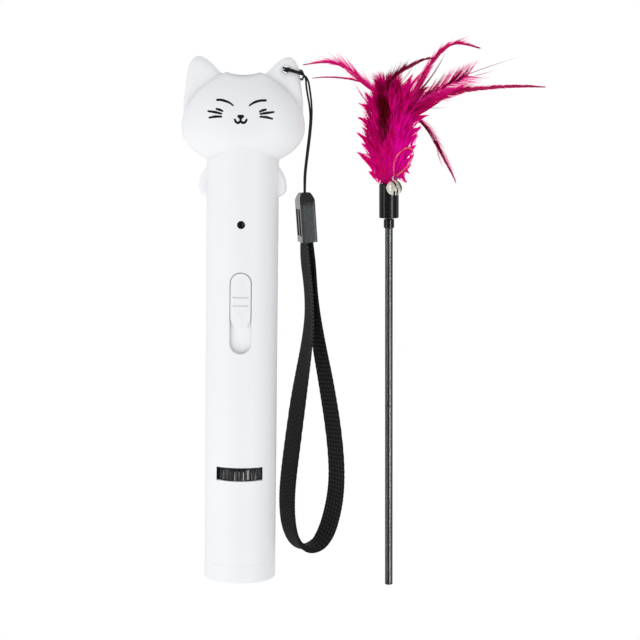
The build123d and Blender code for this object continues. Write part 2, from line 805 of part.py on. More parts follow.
# The band's middle line (x, y), how far it leans to its left in degrees, and its lift off the table.
web_points = [
    (24.45, 135.5, 11.5, 1.77),
    (24.7, 132.7, 12.5, 1.75),
    (24.9, 128.0, 17.0, 0.85),
    (25.3, 123.2, 18.0, 0.45),
    (25.9, 118.0, 18.0, 0.15),
    (26.45, 111.0, 18.5, 0.02),
    (26.6, 104.0, 20.0, 0.02),
    (26.2, 97.0, 23.0, 0.02),
    (25.35, 89.4, 26.5, 0.02),
    (23.9, 79.4, 31.5, 0.02),
    (22.5, 69.5, 36.0, 0.02),
    (21.1, 58.0, 37.5, 0.02),
    (19.8, 47.0, 38.0, 0.02),
    (18.75, 37.0, 38.0, 0.02),
    (18.35, 28.5, 38.0, 0.02),
    (18.85, 20.6, 37.0, 0.02),
    (20.2, 15.0, 34.0, 0.02),
    (22.1, 11.9, 26.0, 0.02),
    (24.8, 10.2, 6.0, 0.02),
    (28.3, 10.15, -14.0, 0.02),
    (31.25, 11.7, -30.0, 0.02),
    (34.0, 15.6, -37.5, 0.02),
    (36.0, 21.0, -39.0, 0.02),
    (37.7, 29.3, -38.5, 0.02),
    (38.35, 38.0, -37.0, 0.02),
    (37.9, 48.0, -37.5, 0.02),
    (36.45, 60.0, -37.5, 0.02),
    (34.75, 70.1, -37.0, 0.02),
    (33.0, 79.9, -35.5, 0.02),
    (31.05, 89.5, -33.0, 0.02),
    (29.7, 98.0, -28.0, 0.02),
    (28.6, 106.5, -23.0, 0.02),
    (27.7, 113.5, -20.0, 0.10),
    (27.1, 119.5, -18.5, 0.30),
    (26.6, 125.5, -17.5, 0.65),
    (26.1, 131.0, -14.0, 1.45),
    (25.8, 135.4, -11.5, 1.77),
]


def lanyard_cord():
    return wire("lanyard_cord", cord_points, cord_radius)


def in_clip(solid):
    return Pos(clip_x, clip_y, clip_z) * Rot(0, 0, clip_yaw) * Rot(0, clip_lean, 0) * solid


def clip_blank(shrink, length):
    """Half thickness along x, length along y, width along z; the cord's end is tapered."""
    t = clip_thickness / 2 - shrink
    w = clip_width / 2 - shrink
    y1 = clip_length / 2 - shrink
    y0 = y1 - length
    taper = clip_taper - shrink / 2
    side = [(y0, -w), (y1 - taper, -w), (y1, -w + taper), (y1, w - taper), (y1 - taper, w), (y0, w), (y0, -w)]
    face = make_face(Polyline(*[(0, y, z) for y, z in side]))
    top = clip_crown_half - shrink / 2
    low = y1 - clip_crown_length
    bend = (top + 0.75 * (t - top), low + 0.66 * clip_crown_length)
    right = Line((t, y0), (t, low)) + ThreePointArc((t, low), bend, (top, y1))
    left = Line((-t, y0), (-t, low)) + ThreePointArc((-t, low), (-bend[0], bend[1]), (-top, y1))
    outline = right + left + Line((-top, y1), (top, y1)) + Line((-t, y0), (t, y0))
    crown = Pos(0, 0, -w) * extrude(make_face(outline), amount=2 * w)
    return extrude(face, amount=t, both=True) & crown


def clip_housing():
    body = clip_blank(0, clip_length)
    body = fillet(body.edges().filter_by(Axis.Y), clip_round)
    hollow = clip_blank(clip_wall, clip_length)
    cord_hole = rod(cord_radius * 2 + 0.6, clip_length / 2 - 3, clip_length / 2 + 1, 0, 0)
    y0 = clip_slot_y - clip_slot_length / 2
    y1 = clip_slot_y + clip_slot_length / 2
    z = clip_slot_height / 2
    slot = block(-clip_thickness, clip_thickness, y0, y1, -z, z)
    slots = [Pos(0, 0, hand * clip_slot_offset) * slot for hand in (1, -1)]
    return in_clip(body - hollow - cord_hole - slots - clip_pin_bar())


def clip_pin_bar():
    return Pos(0, clip_length / 2 - clip_pin_inset, 0) * Cylinder(clip_pin_radius, clip_width - 1.0)


def clip_pin():
    return in_clip(clip_pin_bar())


def clip_insert():
    """The tongue that the webbing is crimped in, seen through the housing's slots."""
    x = clip_thickness / 2 - clip_wall - 0.15
    z = clip_width / 2 - clip_wall - 0.15
    return in_clip(block(-x, x, 2.6 - clip_length / 2, clip_length / 2 - 6.2, -z, z))


def web_middle():
    """Where the band's middle line runs; its lower edge keeps its lift off the table at every lean."""
    middle = []
    for x, y, lean, lift in web_points:
        tilt = math.radians(abs(lean))
        middle.append(Vector(x, y, lift + (web_width * math.cos(tilt) + web_thickness * math.sin(tilt)) / 2))
    return middle


def wrist_webbing():
    middle = web_middle()
    sections = []
    for i, (point, (_, _, lean, _)) in enumerate(zip(middle, web_points)):
        after = middle[min(i + 1, len(middle) - 1)]
        along = (after - middle[max(i - 1, 0)]).normalized()
        leftward = Vector(0, 0, 1).cross(along).normalized()
        upward = along.cross(leftward)
        tilt = math.radians(lean)
        across = upward * math.cos(tilt) + leftward * math.sin(tilt)
        sections.append(Plane(origin=point, x_dir=across, z_dir=along) * Rectangle(web_width, web_thickness))
    return loft(sections)


# ---------- feather wand ----------
wand_x = 60.05                 # the rod's lower end
wand_y = -5.74
wand_yaw = 0.914
tube_wall = 0.3
rod_length = 144.8
plug_length = 4.0
plug_cap = 0.6
middle_inset = 1.0             # each inner section starts this much further in
middle_reach = 1.5             # and ends this far beyond the outer tube
collar_radius = 2.1
collar_length = 3.7
collar_gap = 0.1
sleeve_radius = 3.9
sleeve_wall = 0.7
sleeve_gap = 0.4
sleeve_length = 13.4
sleeve_floor = 2.0

middle_radius = rod_radius - tube_wall - run_gap
tip_rod_radius = middle_radius - tube_wall - run_gap
collar_t0 = rod_length + collar_gap
sleeve_t0 = collar_t0 + collar_length + sleeve_gap
sleeve_t1 = sleeve_t0 + sleeve_length
wand_pitch = math.degrees(math.asin((sleeve_radius - rod_radius) / sleeve_t0))
wand_place = Pos(wand_x, wand_y, rod_radius) * Rot(0, 0, wand_yaw) * Rot(wand_pitch, 0, 0)


def wand_pipe(outer, inner, t0, t1):
    """A tube on the wand's axis, from t0 to t1 along it."""
    return wand_place * pipe(outer, inner, t0, t1, 0, 0)


def at_start(solid):
    """The round edges of a bar's end at y = 0."""
    return [e for e in solid.edges().filter_by(GeomType.CIRCLE) if abs(e.center().Y) < 0.01]


def wand_outer_tube():
    return wand_pipe(rod_radius, rod_radius - tube_wall, plug_cap, rod_length)


def wand_end_plug():
    cap = rod(rod_radius, 0, plug_cap, 0, 0)
    cap = fillet(at_start(cap), plug_cap / 2)
    return wand_place * (cap + rod(rod_radius - tube_wall, plug_cap, plug_length, 0, 0))


def wand_middle_tube():
    t0 = plug_length + middle_inset
    return wand_pipe(middle_radius, middle_radius - tube_wall, t0, rod_length + middle_reach)


def wand_tip_rod():
    t0 = plug_length + 2 * middle_inset
    return wand_place * rod(tip_rod_radius, t0, sleeve_t0 + sleeve_floor, 0, 0)


def wand_collar():
    collar_t1 = collar_t0 + collar_length
    outer = rod(collar_radius, collar_t0, collar_t1, 0, 0)
    outer = chamfer(outer.edges().filter_by(GeomType.CIRCLE), 0.35)
    room = rod(middle_radius + run_gap, collar_t0 - 1, rod_length + middle_reach + run_gap, 0, 0)
    return wand_place * (outer - room - rod(tip_rod_radius, collar_t0, collar_t1 + 1, 0, 0))


def feather_sleeve():
    floor_t = sleeve_t0 + sleeve_floor
    outer = rod(sleeve_radius, sleeve_t0, sleeve_t1, 0, 0)
    outer = fillet(outer.edges().filter_by(GeomType.CIRCLE), 0.3)
    outer = outer - rod(sleeve_radius - sleeve_wall, floor_t, sleeve_t1 + 1, 0, 0)
    return wand_place * (outer - rod(tip_rod_radius, sleeve_t0 - 1, floor_t + 1, 0, 0))


# Each ring of the down: distance beyond the sleeve, sideways shift, half width, lift, half height.
down_rings = (
    (0.0, 0.0, 3.2, 0.0, 3.2),
    (4.6, -0.5, 6.0, 1.2, 4.7),
    (9.6, -1.0, 8.2, 2.5, 6.1),
    (17.6, -0.3, 9.7, 3.6, 7.2),
    (25.6, 0.8, 11.2, 4.2, 7.8),
    (32.6, 1.6, 9.6, 4.4, 7.2),
    (38.4, -0.6, 3.6, 4.2, 3.4),
)


def marabou_bundle():
    rings = []
    for reach, shift, half_width, lift, half_height in down_rings:
        plane = Plane(origin=(shift, sleeve_t1 + reach, lift), x_dir=(1, 0, 0), z_dir=(0, 1, 0))
        rings.append(plane * Ellipse(half_width, half_height))
    down = loft(rings)
    root = rod(sleeve_radius - sleeve_wall - run_gap, sleeve_t0 + sleeve_floor, sleeve_t1, 0, 0)
    return wand_place * (down + root)


def blade(points, half_widths, z, thickness):
    """A feather as a flat blade: its spine's points and its half width at each."""
    left = []
    right = []
    for i, (x, y) in enumerate(points):
        before = points[max(i - 1, 0)]
        after = points[min(i + 1, len(points) - 1)]
        along = Vector(after[0] - before[0], after[1] - before[1]).normalized()
        left.append((x - along.Y * half_widths[i], y + along.X * half_widths[i]))
        right.append((x + along.Y * half_widths[i], y - along.X * half_widths[i]))
    outline = Spline(*left) + Line(left[-1], right[-1]) + Spline(*right) + Line(left[0], right[0])
    return extrude(Pos(0, 0, z) * make_face(outline), amount=thickness)


plume_thickness = 0.8
# Spine points (x, y), half width at each point, and the height at which the feather lies.
plumes = {
    "plume_long_right": (
        (
            (62.0, 187.2), (70.0, 189.8), (78.0, 192.0), (86.6, 193.7),
            (99.5, 195.3), (109.0, 195.7), (118.2, 195.5),
        ),
        (1.2, 2.2, 2.4, 1.8, 0.9, 0.6, 0.3),
        8.6,
    ),
    "plume_barred": (
        ((60.0, 188.4), (66.0, 190.9), (74.0, 195.2), (81.0, 199.2), (88.0, 203.0)),
        (1.6, 2.4, 3.6, 3.8, 1.2),
        10.2,
    ),
    "plume_up_right": (
        (
            (63.0, 186.5), (66.6, 192.6), (71.0, 199.9), (75.3, 207.3),
            (79.2, 210.9), (84.4, 212.0), (91.4, 210.6),
        ),
        (1.0, 1.4, 1.5, 1.2, 0.9, 0.7, 0.3),
        11.8,
    ),
    "plume_thin_dark": (
        ((54.8, 186.0), (55.7, 194.0), (58.9, 198.6), (63.4, 202.2), (69.0, 205.2), (72.8, 206.1)),
        (1.4, 1.4, 1.1, 0.8, 0.6, 0.3),
        13.2,
    ),
    "plume_upper_left": (
        (
            (54.0, 189.0), (49.6, 194.4), (44.2, 198.8), (39.5, 201.7),
            (34.1, 203.7), (28.4, 204.1), (22.8, 203.0),
        ),
        (1.0, 1.3, 1.5, 1.5, 1.1, 0.7, 0.3),
        10.8,
    ),
    "plume_lower_left": (
        ((53.0, 190.6), (47.8, 194.9), (40.2, 197.4), (32.0, 198.0), (26.6, 197.8)),
        (0.8, 0.9, 0.8, 0.5, 0.3),
        7.6,
    ),
    "plume_drooping": (
        ((64.0, 186.0), (69.0, 182.3), (73.6, 177.2), (77.5, 170.8), (81.0, 164.2), (83.7, 157.9)),
        (1.0, 1.3, 1.4, 1.2, 0.9, 0.3),
        6.2,
    ),
}


def plume(name):
    points, half_widths, z = plumes[name]
    return blade(points, half_widths, z, plume_thickness) - marabou_bundle()


# ---------- bell ----------
bell_radius = 3.1
bell_wall = 0.3
bell_seam_radius = 3.25
bell_seam_width = 0.35
bell_slit = 0.7
bell_side_angle = 15.0         # it rests on the sleeve, this far round from the top
bell_t = sleeve_t1 - 1.0
bell_rest_gap = 0.05
bail_radius = 0.75
bail_wire = 0.2
clapper_radius = 0.9


def bell_centre():
    reach = sleeve_radius + bell_seam_radius + bell_rest_gap
    angle = math.radians(bell_side_angle)
    return (wand_place * Pos(reach * math.sin(angle), bell_t, reach * math.cos(angle))).position


def bell_shell():
    centre = bell_centre()
    return Pos(*centre) * (Sphere(bell_radius) - Sphere(bell_radius - bell_wall))


def bell_half(end):
    """end 1 is the half with the bail, towards the feathers; end -1 has the slit."""
    centre = bell_centre()
    reach = 2 * bell_radius
    room = Pos(centre.X, centre.Y + end * reach / 2, centre.Z) * Box(2 * reach, reach, 2 * reach)
    half = bell_shell() & room
    y0, y1 = sorted((centre.Y, centre.Y + end * bell_seam_width / 2))
    seam = pipe(bell_seam_radius, bell_radius - bell_wall, y0, y1, centre.X, centre.Z)
    return half + seam


def bell_upper_half():
    centre = bell_centre()
    bail_y = centre.Y + bell_radius + bail_radius - bail_wire
    bail = Pos(centre.X, bail_y, centre.Z) * Torus(bail_radius, bail_wire)
    return bell_half(1) + (bail - Pos(*centre) * Sphere(bell_radius - bell_wall / 2))


def bell_lower_half():
    centre = bell_centre()
    x = bell_slit / 2
    z = 2 * bell_radius
    slit = Pos(*centre) * block(-x, x, -bell_radius - 1, 1.9 - bell_radius, -z, z)
    return bell_half(-1) - slit


def bell_clapper():
    centre = bell_centre()
    drop = bell_radius - bell_wall - clapper_radius - bell_rest_gap
    return Pos(centre.X, centre.Y, centre.Z - drop) * Sphere(clapper_radius)


loop_wire_radius = 0.2
loop_points = [
    (59.3, 160.2, 11.1),
    (58.8, 162.2, 11.9),
    (59.0, 165.6, 13.4),
    (60.4, 168.9, 14.8),
    (63.4, 171.6, 15.2),
    (66.2, 171.0, 14.2),
    (66.7, 168.2, 13.0),
    (65.0, 164.6, 12.2),
    (62.3, 162.0, 11.6),
    (60.3, 160.4, 11.3),
]


def bell_tie_loop():
    return wire("bell_tie_loop", loop_points, loop_wire_radius)


# ---------- parts list ----------
parts = {
    "front_shell": front_shell,
    "rear_shell": rear_shell,
    "end_bezel": end_bezel,
    "projector_lens": projector_lens,
    "lens_tube": lens_tube,
    "pattern_wheel": pattern_wheel,
    "pattern_films": pattern_films,
    "wheel_axle": wheel_axle,
    "wheel_bracket": wheel_bracket,
    "detent_spring": detent_spring,
    "laser_module": laser_module,
    "collimator_lens": collimator_lens,
    "laser_diode": laser_diode,
    "laser_driver_board": laser_driver_board,
    "laser_wire_red": lambda: laser_wire(1),
    "laser_wire_black": lambda: laser_wire(-1),
    "main_circuit_board": main_circuit_board,
    "control_chips": control_chips,
    "board_passives": board_passives,
    "slide_switch_body": slide_switch_body,
    "slide_switch_lever": slide_switch_lever,
    "slide_knob": slide_knob,
    "indicator_lens": indicator_lens,
    "indicator_led": indicator_led,
    "charging_socket": charging_socket,
    "battery_cell": battery_cell,
    "battery_tabs": battery_tabs,
    "battery_foam": battery_foam,
    "shell_screws": shell_screws,
    "board_screws": board_screws,
    "wand_socket": wand_socket,
    "lanyard_cord": lanyard_cord,
    "wrist_webbing": wrist_webbing,
    "wand_outer_tube": wand_outer_tube,
    "wand_end_plug": wand_end_plug,
    "wand_middle_tube": wand_middle_tube,
    "wand_tip_rod": wand_tip_rod,
    "wand_collar": wand_collar,
    "feather_sleeve": feather_sleeve,
    "marabou_bundle": marabou_bundle,
    "bell_upper_half": bell_upper_half,
    "bell_lower_half": bell_lower_half,
    "bell_clapper": bell_clapper,
    "bell_tie_loop": bell_tie_loop,
    "clip_housing": clip_housing,
    "clip_insert": clip_insert,
    "clip_pin": clip_pin,
}

# The strap hangs loose, so it has no say in where the origin lies.
strap_parts = ("lanyard_cord", "wrist_webbing", "clip_housing", "clip_insert", "clip_pin")


def export_parts():
    made = {name: make() for name, make in parts.items()}
    made.update({name: plume(name) for name in plumes})
    stiff = Compound(children=[copy.copy(solid) for name, solid in made.items() if name not in strap_parts])
    box = stiff.bounding_box()
    origin_x = (box.min.X + box.max.X) / 2
    origin_y = (box.min.Y + box.max.Y) / 2
    print(f"origin at x {origin_x:.3f}, y {origin_y:.3f}, z {box.min.Z:.3f}")
    for name, solid in made.items():
        export_step(Pos(-origin_x, -origin_y, -box.min.Z) * solid, f"parts/{name}.step")


export_parts()
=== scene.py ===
import math
import random

import bpy
from mathutils import Matrix, Vector, noise


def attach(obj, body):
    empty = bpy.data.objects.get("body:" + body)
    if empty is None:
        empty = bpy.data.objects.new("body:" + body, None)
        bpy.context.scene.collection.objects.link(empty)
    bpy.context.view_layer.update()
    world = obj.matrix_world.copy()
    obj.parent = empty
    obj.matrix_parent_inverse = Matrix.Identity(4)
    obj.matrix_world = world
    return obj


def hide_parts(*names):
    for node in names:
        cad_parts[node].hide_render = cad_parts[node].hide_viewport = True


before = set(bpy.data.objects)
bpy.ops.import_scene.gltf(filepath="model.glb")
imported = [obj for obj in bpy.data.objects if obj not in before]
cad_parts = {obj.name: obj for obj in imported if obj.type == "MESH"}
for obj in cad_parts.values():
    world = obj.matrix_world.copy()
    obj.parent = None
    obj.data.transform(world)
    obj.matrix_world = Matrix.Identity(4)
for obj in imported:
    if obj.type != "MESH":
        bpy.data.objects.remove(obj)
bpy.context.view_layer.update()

# Points below are in millimetres in the torch's own frame: x from its axis, y from its light outlet,
# z from the table. P moves them into the row frame, in metres.
ORIGIN = (47.103, 103.471)
TUBE_RADIUS = 14.1  # the torch lies on its back, so its axis is as high
UP = Vector((0, 0, 1))


def P(x, y, z):
    return Vector(((x - ORIGIN[0]) / 1000, (y - ORIGIN[1]) / 1000, z / 1000))


def row_y(y):
    """A distance from the light outlet in millimetres, as the row frame's y in metres."""
    return P(0, y, 0).y


def new_object(name, data):
    obj = bpy.data.objects.new(name, data)
    bpy.context.scene.collection.objects.link(obj)
    return obj


def middle_of(*names):
    """The middle of the boxes of some of the frame's nodes."""
    corners = [Vector(corner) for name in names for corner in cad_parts[name].bound_box]
    return sum(corners, Vector()) / len(corners)


# ---- camera
CAMERA_PLACE = (30.83, 199.81, 834.0)
CAMERA_TILT = math.radians(6.714)  # from straight down, towards the light outlet
CAMERA_ROLL = math.radians(0.7)
LENS, SENSOR = 117.88, 36.0


def make_camera():
    forward = Vector((0, -math.sin(CAMERA_TILT), -math.cos(CAMERA_TILT)))
    side = Vector((1, 0, 0))
    top = Vector((0, math.cos(CAMERA_TILT), -math.sin(CAMERA_TILT)))
    right = side * math.cos(CAMERA_ROLL) + top * math.sin(CAMERA_ROLL)
    up = -side * math.sin(CAMERA_ROLL) + top * math.cos(CAMERA_ROLL)
    data = bpy.data.cameras.new("camera")
    data.lens, data.sensor_width = LENS, SENSOR
    data.clip_start, data.clip_end = 0.05, 10
    cam = new_object("camera", data)
    turn = Matrix((right, up, -forward)).transposed().to_4x4()
    turn.translation = P(*CAMERA_PLACE)
    cam.matrix_world = turn
    bpy.context.scene.camera = cam


# ---- lights
WAND_MIDDLE = (0.012, 0, 0)


def area_light(name, where, aim, width, height, watts, gloss):
    """A soft rectangle; with gloss it shows only in reflections, and without it only lights."""
    data = bpy.data.lights.new(name, "AREA")
    data.shape, data.size, data.size_y, data.energy = "RECTANGLE", width, height, watts
    lamp = new_object(name, data)
    lamp.location = where
    back = (Vector(where) - Vector(aim)).normalized()
    across = Vector((0, 1, 0)).cross(back).normalized()
    lamp.rotation_euler = Matrix((across, back.cross(across), back)).transposed().to_euler()
    lamp.visible_diffuse = not gloss
    lamp.visible_glossy = gloss


def make_light():
    """A white table all round: even light, a soft key from the upper left, and two strips for the gloss."""
    world = bpy.data.worlds.new("studio")
    bpy.context.scene.world = world
    world.use_nodes = True
    tree = world.node_tree
    tree.nodes.clear()

    def background(colour, strength):
        made = tree.nodes.new("ShaderNodeBackground")
        made.inputs[0].default_value = (*colour, 1)
        if isinstance(strength, float):
            made.inputs[1].default_value = strength
        else:
            tree.links.new(strength, made.inputs[1])
        return made.outputs[0]

    def mix(factor, a, b):
        made = tree.nodes.new("ShaderNodeMixShader")
        tree.links.new(factor, made.inputs[0])
        tree.links.new(a, made.inputs[1])
        tree.links.new(b, made.inputs[2])
        return made.outputs[0]

    def fade(axis, low, high, at_low, at_high):
        """Goes from one value to another as the direction looked in changes along an axis."""
        made = tree.nodes.new("ShaderNodeMapRange")
        tree.links.new(towards.outputs[axis], made.inputs[0])
        for i, value in enumerate((low, high, at_low, at_high)):
            made.inputs[i + 1].default_value = value
        return made.outputs[0]

    path = tree.nodes.new("ShaderNodeLightPath").outputs
    coords = tree.nodes.new("ShaderNodeTexCoord")
    towards = tree.nodes.new("ShaderNodeSeparateXYZ")
    tree.links.new(coords.outputs["Generated"], towards.inputs[0])
    even = tree.nodes.new("ShaderNodeMath")
    even.operation = "MULTIPLY"
    tree.links.new(fade("Y", low=-1.0, high=1.0, at_low=1.05, at_high=0.815), even.inputs[0])
    tree.links.new(fade("Z", low=-1.0, high=1.0, at_low=1.26, at_high=0.84), even.inputs[1])
    room = background((0.968, 0.982, 1.0), even.outputs[0])
    glossy_room = background((1, 1, 1), fade("Z", low=-0.12, high=0.10, at_low=0.60, at_high=0.13))
    out = tree.nodes.new("ShaderNodeOutputWorld")
    lit = mix(path["Is Glossy Ray"], room, glossy_room)
    tree.links.new(mix(path["Is Camera Ray"], lit, background((1, 1, 1), 1.0)), out.inputs[0])
    area_light("key", where=(-0.36, -0.20, 0.62), aim=(-0.02, 0, 0),
               width=0.35, height=0.8, watts=1.3, gloss=False)
    area_light("strip_right", where=(0.36, 0.02, 0.50), aim=WAND_MIDDLE,
               width=0.045, height=0.9, watts=3.2, gloss=True)
    area_light("strip_left", where=(-0.60, 0.02, 0.36), aim=WAND_MIDDLE,
               width=0.08, height=0.9, watts=1.1, gloss=True)


# ---- materials
# Most of a noise's values lie between these two.
DRIFT_LOW, DRIFT_HIGH = 0.3, 0.7


class Shader:
    """Builds one node material; every value that varies goes through its own nodes."""

    def __init__(self, name, rough=0.5, metallic=0.0, specular=0.5, **sockets):
        self.material = bpy.data.materials.new(name)
        self.material.use_nodes = True
        self.tree = self.material.node_tree
        self.bsdf = self.tree.nodes["Principled BSDF"]
        self.bsdf.inputs["Roughness"].default_value = rough
        self.bsdf.inputs["Metallic"].default_value = metallic
        self.bsdf.inputs["Specular IOR Level"].default_value = specular
        for socket, value in sockets.items():
            self.bsdf.inputs[socket.replace("_", " ")].default_value = value
        self.coords = self.tree.nodes.new("ShaderNodeTexCoord").outputs["Object"]

    def node(self, kind, **inputs):
        made = self.tree.nodes.new("ShaderNode" + kind)
        for socket, value in inputs.items():
            self.set(made, socket.replace("_", " "), value)
        return made

    def set(self, node, socket, value):
        target = node.inputs[int(socket)] if socket.isdigit() else node.inputs[socket]
        if isinstance(value, bpy.types.NodeSocket):
            self.tree.links.new(value, target)
        else:
            target.default_value = value

    def noise(self, scale, detail=3.0, stretch=(1, 1, 1)):
        mapping = self.node("Mapping", Scale=stretch, Vector=self.coords)
        made = self.node("TexNoise", Vector=mapping.outputs[0], Scale=scale, Detail=detail)
        return made.outputs["Fac"]

    def ramp(self, value, *stops):
        made = self.node("ValToRGB")
        self.set(made, "0", value)
        ramp = made.color_ramp
        while len(ramp.elements) < len(stops):
            ramp.elements.new(0.5)
        for element, (place, colour) in zip(ramp.elements, stops):
            element.position = place
            element.color = (*colour, 1)
        return made.outputs[0]

    def map(self, value, low, high, to_low=0.0, to_high=1.0):
        made = self.node("MapRange")
        for i, part in enumerate((value, low, high, to_low, to_high)):
            self.set(made, str(i), part)
        return made.outputs[0]

    def math(self, operation, a, b=0.0):
        made = self.tree.nodes.new("ShaderNodeMath")
        made.operation = operation
        self.set(made, "0", a)
        self.set(made, "1", b)
        return made.outputs[0]

    def mix(self, factor, a, b):
        made = self.tree.nodes.new("ShaderNodeMix")
        made.data_type = "RGBA"
        for index, value in (("0", factor), ("6", a), ("7", b)):
            self.set(made, index, (*value, 1) if isinstance(value, tuple) else value)
        return made.outputs[2]

    def bump(self, height, distance, strength, normal=None):
        made = self.node("Bump", Height=height, Distance=distance, Strength=strength)
        if normal is not None:
            self.set(made, "Normal", normal)
        self.set(self.bsdf, "Normal", made.outputs[0])

    def colour(self, value):
        self.set(self.bsdf, "Base Color", value)

    def roughness(self, value):
        self.set(self.bsdf, "Roughness", value)

    def drifting(self, value, dark, light):
        """A colour that wanders between two close shades, as a noise does."""
        return self.ramp(value, (DRIFT_LOW, dark), (DRIFT_HIGH, light))

    def vary_roughness(self, value, low, high):
        self.roughness(self.map(value, DRIFT_LOW, DRIFT_HIGH, low, high))

    def xyz(self, vector):
        """The three parts of a vector, one socket each."""
        return self.node("SeparateXYZ", Vector=vector).outputs

    def square(self, value):
        return self.math("MULTIPLY", value, value)


def varied(name, dark, light, scale=60, rough=(0.4, 0.5), bump=0.00002, grain=900, stretch=(1, 1, 1), **more):
    """A material whose colour, gloss and surface all drift a little over the piece."""
    s = Shader(name, **more)
    s.colour(s.drifting(s.noise(scale, 3, stretch), dark, light))
    fine = s.noise(grain, 2, stretch)
    s.vary_roughness(fine, *rough)
    s.bump(fine, bump, 0.4)
    return s.material


SHELL_SKIN = 0.0004  # deeper than this below the tube's surface is the switch's floor
SWITCH_END = 150.0  # and it lies between the light outlet and here
NECK = (160.0, 172.0)  # along the torch, where the tube flows into the head
FOLD_NARROW, FOLD_WIDE = 0.0003, 0.0045


def white_plastic(name, soften=False):
    """Satin white, with painted shade in its narrow gaps, drawn as thin grey lines, and painted light on the
    switch's recessed floor.
    """
    s = Shader(name, specular=0.25)
    shade = s.drifting(s.noise(25, 2), (0.855, 0.858, 0.866), (0.872, 0.875, 0.882))
    gap_shade = s.node("AmbientOcclusion", Distance=0.0007)
    gap_shade.samples = 6
    # Painted light: the recessed floor under the knob gets a lighter colour, so it stays nearly as light as
    # the tube round it instead of reading as shaded.
    place = s.xyz(s.coords)
    sideways = s.math("SUBTRACT", place["X"], P(0, 0, 0).x)
    upward = s.math("SUBTRACT", place["Z"], TUBE_RADIUS / 1000)
    radius = s.math("SQRT", s.math("ADD", s.square(sideways), s.square(upward)))
    floor_light = s.math("MULTIPLY", s.math("LESS_THAN", radius, TUBE_RADIUS / 1000 - SHELL_SKIN),
                   s.math("LESS_THAN", place["Y"], row_y(SWITCH_END)))
    shade = s.mix(floor_light, shade, (0.925, 0.925, 0.935))
    # Painted shade: where the ambient occlusion is low, in narrow gaps and seams, the colour turns nearly
    # black.
    openness = s.map(gap_shade.outputs["AO"], 0.08, 0.50)
    s.colour(s.mix(openness, (0.02, 0.021, 0.025), shade))
    grain = s.noise(2600, 2)
    s.vary_roughness(grain, 0.42, 0.50)
    normal = None
    if soften:
        # The neck flows into the head, so the crease there is shaded as a wide soft fold.
        width = s.map(place["Y"], row_y(NECK[0]), row_y(NECK[1]), FOLD_NARROW, FOLD_WIDE)
        bevel = s.node("Bevel", Radius=width)
        bevel.samples = 8
        normal = bevel.outputs[0]
    s.bump(grain, 0.000012, 0.3, normal)
    return s.material


def brushed_steel(name, dark, light, rough=(0.22, 0.34), stretch=(1, 0.02, 1), bump=0.000005):
    s = Shader(name, metallic=1.0)
    streaks = s.noise(900, 2, stretch)
    s.colour(s.drifting(streaks, dark, light))
    s.vary_roughness(streaks, *rough)
    s.bump(streaks, bump, 0.3)
    return s.material


WHEEL_RIBS = 35
WHEEL_SHADE_EDGE = (0.0009, 0.0016)  # from the wheel's middle: the crests' painted highlight fades out between these two, as painted shade under the window's edge


def wheel_material():
    """Black ribs with a painted highlight on each crest, varied by noise, fading to painted shade under the
    window's edge.
    """
    s = Shader("wheel_rubber", rough=0.25, specular=0.6)
    centre = middle_of("pattern_wheel")
    place = s.xyz(s.coords)
    angle = s.math("ARCTAN2", s.math("SUBTRACT", place["X"], centre.x),
                   s.math("SUBTRACT", place["Z"], centre.z))
    crest = s.math("COSINE", s.math("MULTIPLY", angle, WHEEL_RIBS))
    crest_noise = s.noise(620, 2, (1, 0.12, 1))
    # Painted highlight: a light grey streak on each rib's crest stands for the strip lights' glints.
    crest_glint = s.math("MULTIPLY", s.map(crest, 0.25, 0.95), s.map(crest_noise, 0.42, 0.66))
    # Painted shade: towards the wheel's upper side the streaks fade to black, as in the shade of the window's
    # edge.
    edge = s.map(s.math("SUBTRACT", place["Y"], centre.y), *WHEEL_SHADE_EDGE, 1.0, 0.0)
    crest_glint = s.math("MULTIPLY", crest_glint, edge)
    s.colour(s.ramp(crest_glint, (0.0, (0.003, 0.003, 0.004)), (0.5, (0.07, 0.072, 0.075)),
                    (1.0, (0.50, 0.51, 0.52))))
    s.bump(crest_noise, 0.00003, 0.4)
    return s.material


CLIP_CROWN_SHADE = (147.2, 148.6)  # along the torch, where painted shade darkens the clip's rounded end


def clip_material():
    """Slate plastic; the two broad sides carry a pale painted reflection, and the rounded end a painted
    shade.
    """
    s = Shader("clip_plastic", specular=0.5)
    normal = s.tree.nodes["Texture Coordinate"].outputs["Normal"]
    # Painted reflection: the faces turned sideways, the two broad sides, take a pale grey.
    side_sheen = s.map(s.math("ABSOLUTE", s.xyz(normal)["X"]), 0.80, 0.93)
    drift = s.noise(220, 3, (1, 0.2, 1))
    # Painted shade: beyond the given place along the torch the rounded end turns nearly black.
    crown_shade = s.map(s.xyz(s.coords)["Y"], row_y(CLIP_CROWN_SHADE[0]), row_y(CLIP_CROWN_SHADE[1]))
    slate = s.drifting(drift, (0.040, 0.046, 0.048), (0.056, 0.064, 0.068))
    dark = s.mix(crown_shade, slate, (0.012, 0.013, 0.015))
    sheen_grey = s.drifting(drift, (0.20, 0.205, 0.21), (0.34, 0.345, 0.35))
    s.colour(s.mix(side_sheen, dark, sheen_grey))
    fine = s.noise(1800, 2, (1, 0.2, 1))
    s.vary_roughness(fine, 0.24, 0.34)
    s.bump(fine, 0.00002, 0.4)
    return s.material


# The bell's two dark bands of painted shade cross it at right angles to this direction: place along it, half
# width and where the fade to plate ends, in metres.
BELL_ACROSS = (0.85, 0.30, -0.43)
BELL_SHADE_BANDS = ((-0.0006, 0.00024, 0.00042), (0.0014, 0.00034, 0.00056))


